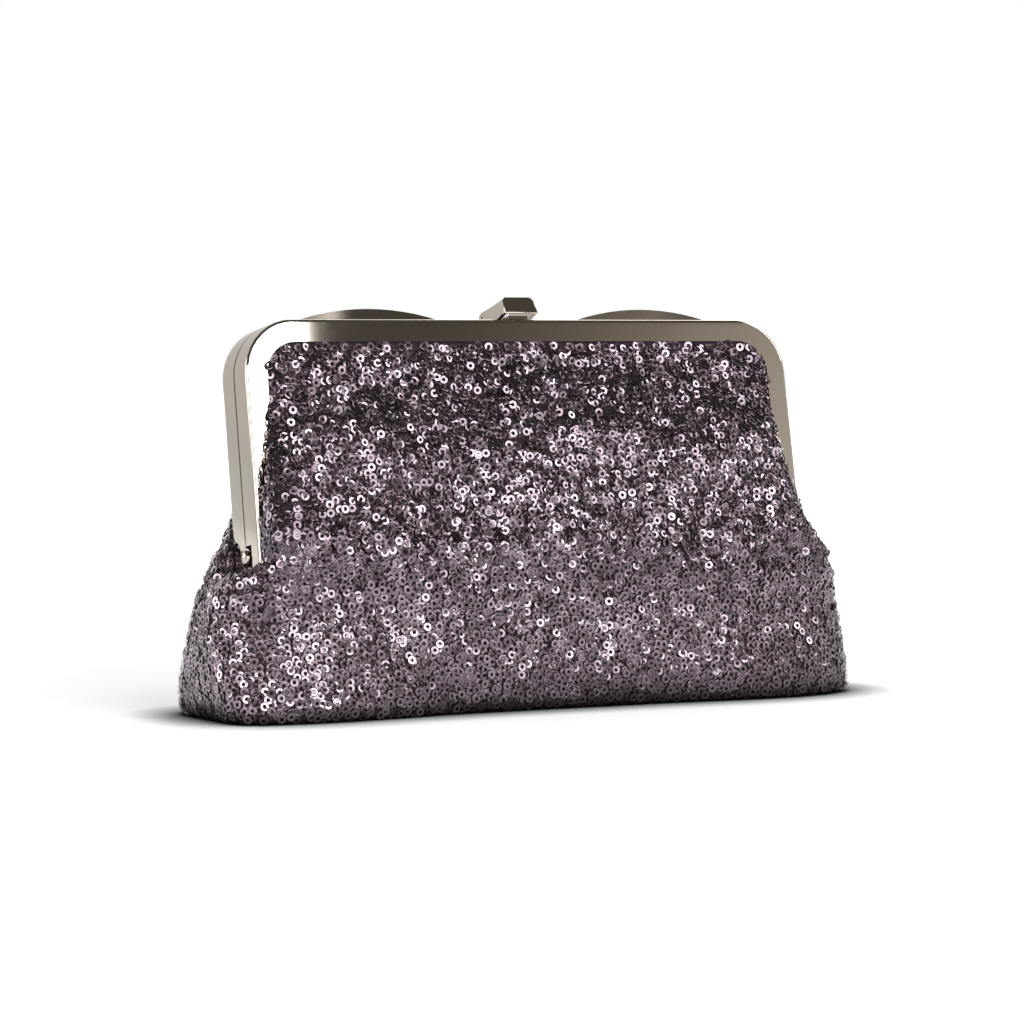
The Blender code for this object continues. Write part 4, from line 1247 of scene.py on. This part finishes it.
class CLUTCH_OT_frame_halves(bpy.types.Operator):
    """Polish the two halves of the frame, and close the front of the two finger humps"""

    bl_idname = "clutch.frame_halves"
    bl_label = "Frame Halves"

    hump_middle = 51.7 * MM
    hump_half = 29.7 * MM
    lip_front = 0.12 * MM
    lip_below = 0.3 * MM
    steps = 24

    def execute(self, context):
        settings = context.scene.clutch_metal
        material = nickel()
        for node in ("front_frame", "rear_frame"):
            piece = polished_copy(node, settings.rounding, material, settings.parting)
        for name, middle in (("left_hump_lip", -self.hump_middle), ("right_hump_lip", self.hump_middle)):
            self.add_lip(name, middle, material)
        return {"FINISHED"}

    def add_lip(self, name, middle, material):
        """The turned-down front of a hump, between its arch and the rail."""
        rise = upright_box("rear_frame")[1][2] - RAIL_TOP
        radius = (self.hump_half**2 + rise**2) / (2 * rise)
        arch = [(x, math.sqrt(radius**2 - x**2) - radius + rise - self.lip_below)
                for x in np.linspace(-self.hump_half, self.hump_half, self.steps)]
        outline = arch + [(x, -SHEET) for x, height in reversed(arch)]
        builder = block(*([(middle + x, depth, RAIL_TOP + height) for x, height in outline]
                          for depth in (self.lip_front, self.lip_front + SHEET)))
        stand_upright(builder)
        piece = add_object(name, built_mesh(name, builder, material))
        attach(piece, "rear_half")


class CLUTCH_OT_lever(bpy.types.Operator):
    """Fold the lift lever from sheet, with soft shoulders along its top"""

    bl_idname = "clutch.lever"
    bl_label = "Lift Lever"

    rake = 2.1 * MM
    lip_rise = 1.25 * MM
    lip_depth = 1.6 * MM
    knee = 5.8 * MM
    tail = 2.1 * MM
    wall = 0.9 * MM
    cheek = 1.8 * MM
    slot = 13.7 * MM
    narrowing = 0.13
    shoulder = 1.9 * MM
    edge = 0.4 * MM
    growth = Vector((0.4, -0.5, 0.8)) * MM
    bore = 0.7 * MM
    over = 2.0 * MM
    steps = 9

    def execute(self, context):
        low, high = upright_box("clasp_lever")
        high[0] += self.growth.x
        nose, top = low[1] + self.growth.y, high[2] + self.growth.z
        axle = (high[1] - self.tail, low[2] + self.tail)
        tip = nose + self.rake
        fall = (top - axle[1] - self.tail) / (axle[0] - tip)

        def roof(depth):
            return top - fall * (depth - tip)

        outline = [(nose, low[2] + self.lip_rise), (nose + self.lip_depth, low[2] + self.lip_rise),
                   (nose + self.knee, low[2])]
        for step in range(self.steps + 1):
            turn = -math.pi / 2 + math.pi * step / self.steps
            outline.append((axle[0] + self.tail * math.cos(turn), axle[1] + self.tail * math.sin(turn)))
        outline.append((tip, top))
        builder = prism(outline, high[0])
        for vert in builder.verts:
            vert.co.x *= 1 - self.narrowing * (vert.co.z - low[2]) / (top - low[2])
        self.round_shoulders(builder, tip, roof)
        stand_upright(builder)
        mesh = built_mesh("lift_lever", builder, nickel())
        mesh.shade_smooth()
        lever = add_object("lift_lever", mesh)

        inner = nose + self.wall * 1.5
        hollow = [(inner, low[2] - self.over), (inner, low[2] + self.lip_rise),
                  (inner + self.rake, roof(inner + self.rake) - self.wall),
                  (nose + self.slot, roof(nose + self.slot) - self.wall), (nose + self.slot, top),
                  (high[1] + self.over, top), (high[1] + self.over, low[2] - self.over)]
        cut_away(lever, prism(hollow, high[0] - self.cheek))
        circle = [(axle[0] + self.bore * math.cos(turn), axle[1] + self.bore * math.sin(turn))
                  for turn in np.linspace(0, 2 * math.pi, 4 * self.steps, endpoint=False)]
        cut_away(lever, prism(circle, high[0] + self.over))
        flatten_faces(lever)
        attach(lever, "lever")
        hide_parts("clasp_lever")
        return {"FINISHED"}

    def round_shoulders(self, builder, tip, roof):
        """Wide rounding along both sides of the roof, then a narrow one round the nose."""
        def on_roof(vert):
            return vert.co.y > tip - self.edge and abs(vert.co.z - roof(vert.co.y)) < 0.05 * MM

        shoulders = [edge for edge in builder.edges
                     if all(on_roof(vert) for vert in edge.verts)
                     and edge.verts[0].co.x * edge.verts[1].co.x > 0
                     and edge.calc_length() > self.knee]
        bmesh.ops.bevel(builder, geom=shoulders, offset=self.shoulder, segments=6, profile=0.5,
                        affect="EDGES")
        face = max((face for face in builder.faces if face.normal.y < -0.5 and face.normal.z > 0.1),
                   key=lambda face: face.calc_area())
        bmesh.ops.bevel(builder, geom=list(face.edges), offset=self.edge, segments=3, profile=0.5,
                        affect="EDGES", clamp_overlap=True)


class CLUTCH_OT_clasp(bpy.types.Operator):
    """Polish the lever's bracket, axle and rivets, and the catch"""

    bl_idname = "clutch.clasp"
    bl_label = "Clasp"

    def execute(self, context):
        settings = context.scene.clutch_metal
        material = nickel()
        for node in ("clasp_catch", "clasp_bracket"):
            piece = polished_copy(node, settings.rounding * 0.6, material)
        for node in ("clasp_axle", "catch_rivet_left", "catch_rivet_right", "bracket_rivet_left",
                     "bracket_rivet_right"):
            repaint(node, material)
        repaint("clasp_spring", worn_metal_finish("spring_steel", (0.42, 0.42, 0.44), 0.28, 1.5 * MM))
        return {"FINISHED"}


class CLUTCH_OT_hinges(bpy.types.Operator):
    """Polish the hinge rivets and tarnish their brass washers"""

    bl_idname = "clutch.hinges"
    bl_label = "Hinges"

    def execute(self, context):
        settings = context.scene.clutch_metal
        material = nickel()
        brass = worn_metal_finish("tarnished_brass", (0.62, 0.47, 0.27), 0.2, 2.0 * MM)
        for hand in ("left", "right"):
            rivet = polished_copy(hand + "_hinge_rivet", settings.rounding * 0.5, material)
            washer = polished_copy(hand + "_hinge_washer", settings.rounding * 0.5, brass)
        return {"FINISHED"}


class CLUTCH_OT_stage(bpy.types.Operator):
    """Set up the floor, the lamps, the background and the camera"""

    bl_idname = "clutch.stage"
    bl_label = "Stage"

    camera_place = Vector((-0.6598, -1.1486, 0.1213))
    camera_turn = math.radians(29.588)
    camera_dip = math.radians(2.551)
    camera_focus = 4037.6
    frame_pixels = 1024
    sensor = 36.0
    lamp_distance = 1.5

    # The floor: where its own light sets in, the soft shadow behind the clutch, where it has none of its own
    # light, and the painted contact shadow under it
    near = 0.25
    far = 1.0
    shade_behind = 0.10
    shade_start = 0.03
    shade_end = 0.13
    painted_shadow_reach = 0.02
    painted_shadow_power = 3.0
    shade_shape = (0.45, 1.0, 1.0)
    black = (0.0, 0.0, 0.0)
    pale = (0.86, 0.86, 0.86)
    glow_near = 0.12
    glow_far = 0.88

    # Name, share of the key lamp's power, width and height in metres, and direction in degrees
    softboxes = (("key_softbox", 1.0, (1.0, 0.8), (5.98, 26)),
                 ("right_softbox", 0.4, (0.5, 0.65), (66, 30)),
                 ("left_softbox", 0.5, (0.85, 0.5), (-62, 17)),
                 ("rear_softbox", 0.6, (0.8, 0.7), (136, 30)),
                 ("side_softbox", 0.33, (0.6, 0.5), (-130, 12)))

    # What mirrors see of the room, from below to above
    room_tones = [(0.0, (0.72, 0.705, 0.69)), (0.12, (0.70, 0.68, 0.66)), (0.25, (0.60, 0.58, 0.55)),
                  (0.28, (0.46, 0.43, 0.39)), (0.31, (0.27, 0.243, 0.21)), (0.335, (0.175, 0.157, 0.138)),
                  (0.37, (0.088, 0.079, 0.069)), (0.42, (0.078, 0.069, 0.06)), (0.50, (0.115, 0.104, 0.096)),
                  (0.75, (0.09, 0.08, 0.073)), (0.90, (0.068, 0.058, 0.049)), (1.0, (0.22, 0.21, 0.20))]

    def execute(self, context):
        self.make_floor(context.scene.clutch_stage)
        self.make_world(context.scene.clutch_stage)
        self.make_lamps(context.scene.clutch_stage)
        self.make_camera()
        context.scene.view_settings.view_transform = "Standard"
        return {"FINISHED"}

    def make_floor(self, settings):
        half = settings.floor / 2
        mesh = bpy.data.meshes.new("floor")
        mesh.from_pydata([(-half, -half, 0), (half, -half, 0), (half, half, 0), (-half, half, 0)], [],
                         [(0, 1, 2, 3)])
        floor = add_object("floor", mesh)
        material = bpy.data.materials.new("white_floor")
        material.use_nodes = True
        recipe = Recipe(material.node_tree)
        shader = material.node_tree.nodes["Principled BSDF"]
        shader.inputs["Roughness"].default_value = 0.9
        shader.inputs["Specular IOR Level"].default_value = 0.0
        seen = recipe.ray("Camera")
        glossy = recipe.ray("Glossy")
        away = recipe.length(recipe.place())
        far = recipe.step(away, self.near, self.far)
        slim = recipe.node("ShaderNodeVectorMath", {"operation": "MULTIPLY_ADD"},
                           {0: recipe.place(), 1: self.shade_shape, 2: (0.0, -self.shade_behind, 0.0)})
        clear = recipe.step(recipe.length(slim), self.shade_start + self.shade_behind,
                            self.shade_end + self.shade_behind)
        # Painted contact shadow: ambient occlusion darkens the floor's colour close round the clutch
        open_sky = recipe.node("ShaderNodeAmbientOcclusion", {"samples": 12}, {"Distance": self.painted_shadow_reach},
                               "AO")
        painted_contact_shadow = open_sky ** self.painted_shadow_power
        recipe.feed(shader.inputs["Base Color"], recipe.mix(painted_contact_shadow, self.black, self.pale))
        horizon = recipe.node("ShaderNodeMapRange", {}, {"Value": away, "From Min": 0.8, "From Max": 2.4,
                                                         "To Min": 0.08, "To Max": 0.22})
        strength = seen * (self.glow_near * clear + self.glow_far * far) + glossy * far * horizon
        glow = recipe.node("ShaderNodeEmission", {}, {"Color": (1, 1, 1, 1), "Strength": strength})
        lit = Link(recipe, shader.outputs[0])
        both = recipe.node("ShaderNodeAddShader", {}, {0: lit, 1: glow})
        recipe.feed(material.node_tree.nodes["Material Output"].inputs["Surface"], both)
        mesh.materials.append(material)

    def make_world(self, settings):
        """White to the camera, an even room to dull surfaces, and a dim front for mirrors."""
        world = bpy.data.worlds.new("studio")
        bpy.context.scene.world = world
        world.use_nodes = True
        recipe = Recipe(world.node_tree)
        output = world.node_tree.nodes["World Output"]
        direction = recipe.node("ShaderNodeTexCoord", {}, {}, "Generated")
        height = recipe.along(direction, (0, 0, 1))
        dark_side = recipe.along(direction, (0.42, -0.91, 0))
        blots = recipe.noise(direction, 0.45, 1.0)
        step = recipe.step(recipe.along(direction, (0.848, 0.530, 0)), -0.04, 0.06)
        backdrop = recipe.step(recipe.along(direction, (-0.27, 0.963, 0)), 0.6, 0.9)
        level = height + 0.06 * dark_side - 0.07 * step + 0.10 * (blots - 0.5) - 0.45 * backdrop
        tone = recipe.ramp(level, self.room_tones)
        white = (1.0, 1.0, 1.0, 1.0)
        seen = recipe.ray("Camera")
        glossy = recipe.ray("Glossy")
        room = recipe.node("ShaderNodeBackground", {}, {"Color": white, "Strength": settings.room})
        mirrored = recipe.node("ShaderNodeBackground", {}, {"Color": tone, "Strength": 1.0})
        plain = recipe.node("ShaderNodeBackground", {}, {"Color": white, "Strength": 1.0})
        lit = recipe.node("ShaderNodeMixShader", {}, {0: glossy, 1: room, 2: mirrored})
        whole = recipe.node("ShaderNodeMixShader", {}, {0: seen, 1: lit, 2: plain})
        recipe.feed(output.inputs["Surface"], whole)

    def make_lamps(self, settings):
        """A softbox at the front right, whose edge the rail mirrors, others round it and overhead."""
        for name, share, size, angles in self.softboxes:
            self.lamp(name, settings.key * share, size, self.toward(*angles))
        top = self.lamp("top_softbox", settings.fill, (1.4, 1.0), Vector((0.1, 0.1, self.lamp_distance)))
        top.visible_glossy = False

    def toward(self, azimuth, height):
        """A place seen from the clutch at an angle from its front, and at an angle of height."""
        azimuth = math.radians(azimuth)
        height = math.radians(height)
        flat = math.cos(height) * self.lamp_distance
        return Vector((math.sin(azimuth) * flat, -math.cos(azimuth) * flat,
                       math.sin(height) * self.lamp_distance + RAIL_TOP))

    def lamp(self, name, power, size, place):
        light = bpy.data.lights.new(name, "AREA")
        light.shape = "RECTANGLE"
        light.size, light.size_y = size
        light.energy = power
        lamp = add_object(name, light)
        lamp.location = place
        aim = Vector((0, 0, RAIL_TOP)) - place
        lamp.rotation_euler = aim.to_track_quat("-Z", "Y").to_euler()
        lamp.visible_camera = False
        return lamp

    def make_camera(self):
        lens = bpy.data.cameras.new("camera")
        lens.sensor_width = self.sensor
        lens.lens = self.camera_focus / self.frame_pixels * self.sensor
        camera = add_object("camera", lens)
        camera.location = self.camera_place
        camera.rotation_euler = (math.pi / 2 - self.camera_dip, 0, -self.camera_turn)
        bpy.context.scene.camera = camera


class CLUTCH_PT_panel(bpy.types.Panel):
    """The clutch's pieces and their settings"""

    bl_idname = "CLUTCH_PT_panel"
    bl_label = "Sequinned Clutch"
    bl_space_type = "VIEW_3D"
    bl_region_type = "UI"
    bl_category = "Clutch"

    def draw(self, context):
        layout = self.layout
        for name, group in GROUPS.items():
            box = layout.box()
            for prop in group.__annotations__:
                box.prop(getattr(context.scene, name), prop)
        for operator in OPERATORS:
            layout.operator(operator.bl_idname)


GROUPS = {"clutch_cloth": ClothSettings, "clutch_sequins": SequinSettings,
          "clutch_lining": LiningSettings, "clutch_metal": MetalSettings,
          "clutch_stage": StageSettings}
OPERATORS = (CLUTCH_OT_stage, CLUTCH_OT_cloth, CLUTCH_OT_sequins, CLUTCH_OT_lining,
             CLUTCH_OT_padding, CLUTCH_OT_cords, CLUTCH_OT_frame_halves, CLUTCH_OT_lever,
             CLUTCH_OT_clasp, CLUTCH_OT_hinges)


def register():
    for name, group in GROUPS.items():
        bpy.utils.register_class(group)
        setattr(bpy.types.Scene, name, PointerProperty(type=group))
    for operator in OPERATORS:
        bpy.utils.register_class(operator)
    bpy.utils.register_class(CLUTCH_PT_panel)


def unregister():
    bpy.utils.unregister_class(CLUTCH_PT_panel)
    for operator in reversed(OPERATORS):
        bpy.utils.unregister_class(operator)
    for name, group in GROUPS.items():
        delattr(bpy.types.Scene, name)
        bpy.utils.unregister_class(group)


def main():
    register()
    bpy.ops.clutch.stage()
    bpy.ops.clutch.cloth()
    bpy.ops.clutch.sequins()
    bpy.ops.clutch.lining()
    bpy.ops.clutch.padding()
    bpy.ops.clutch.cords()
    bpy.ops.clutch.frame_halves()
    bpy.ops.clutch.lever()
    bpy.ops.clutch.clasp()
    bpy.ops.clutch.hinges()


if __name__ == "__main__":
    main()
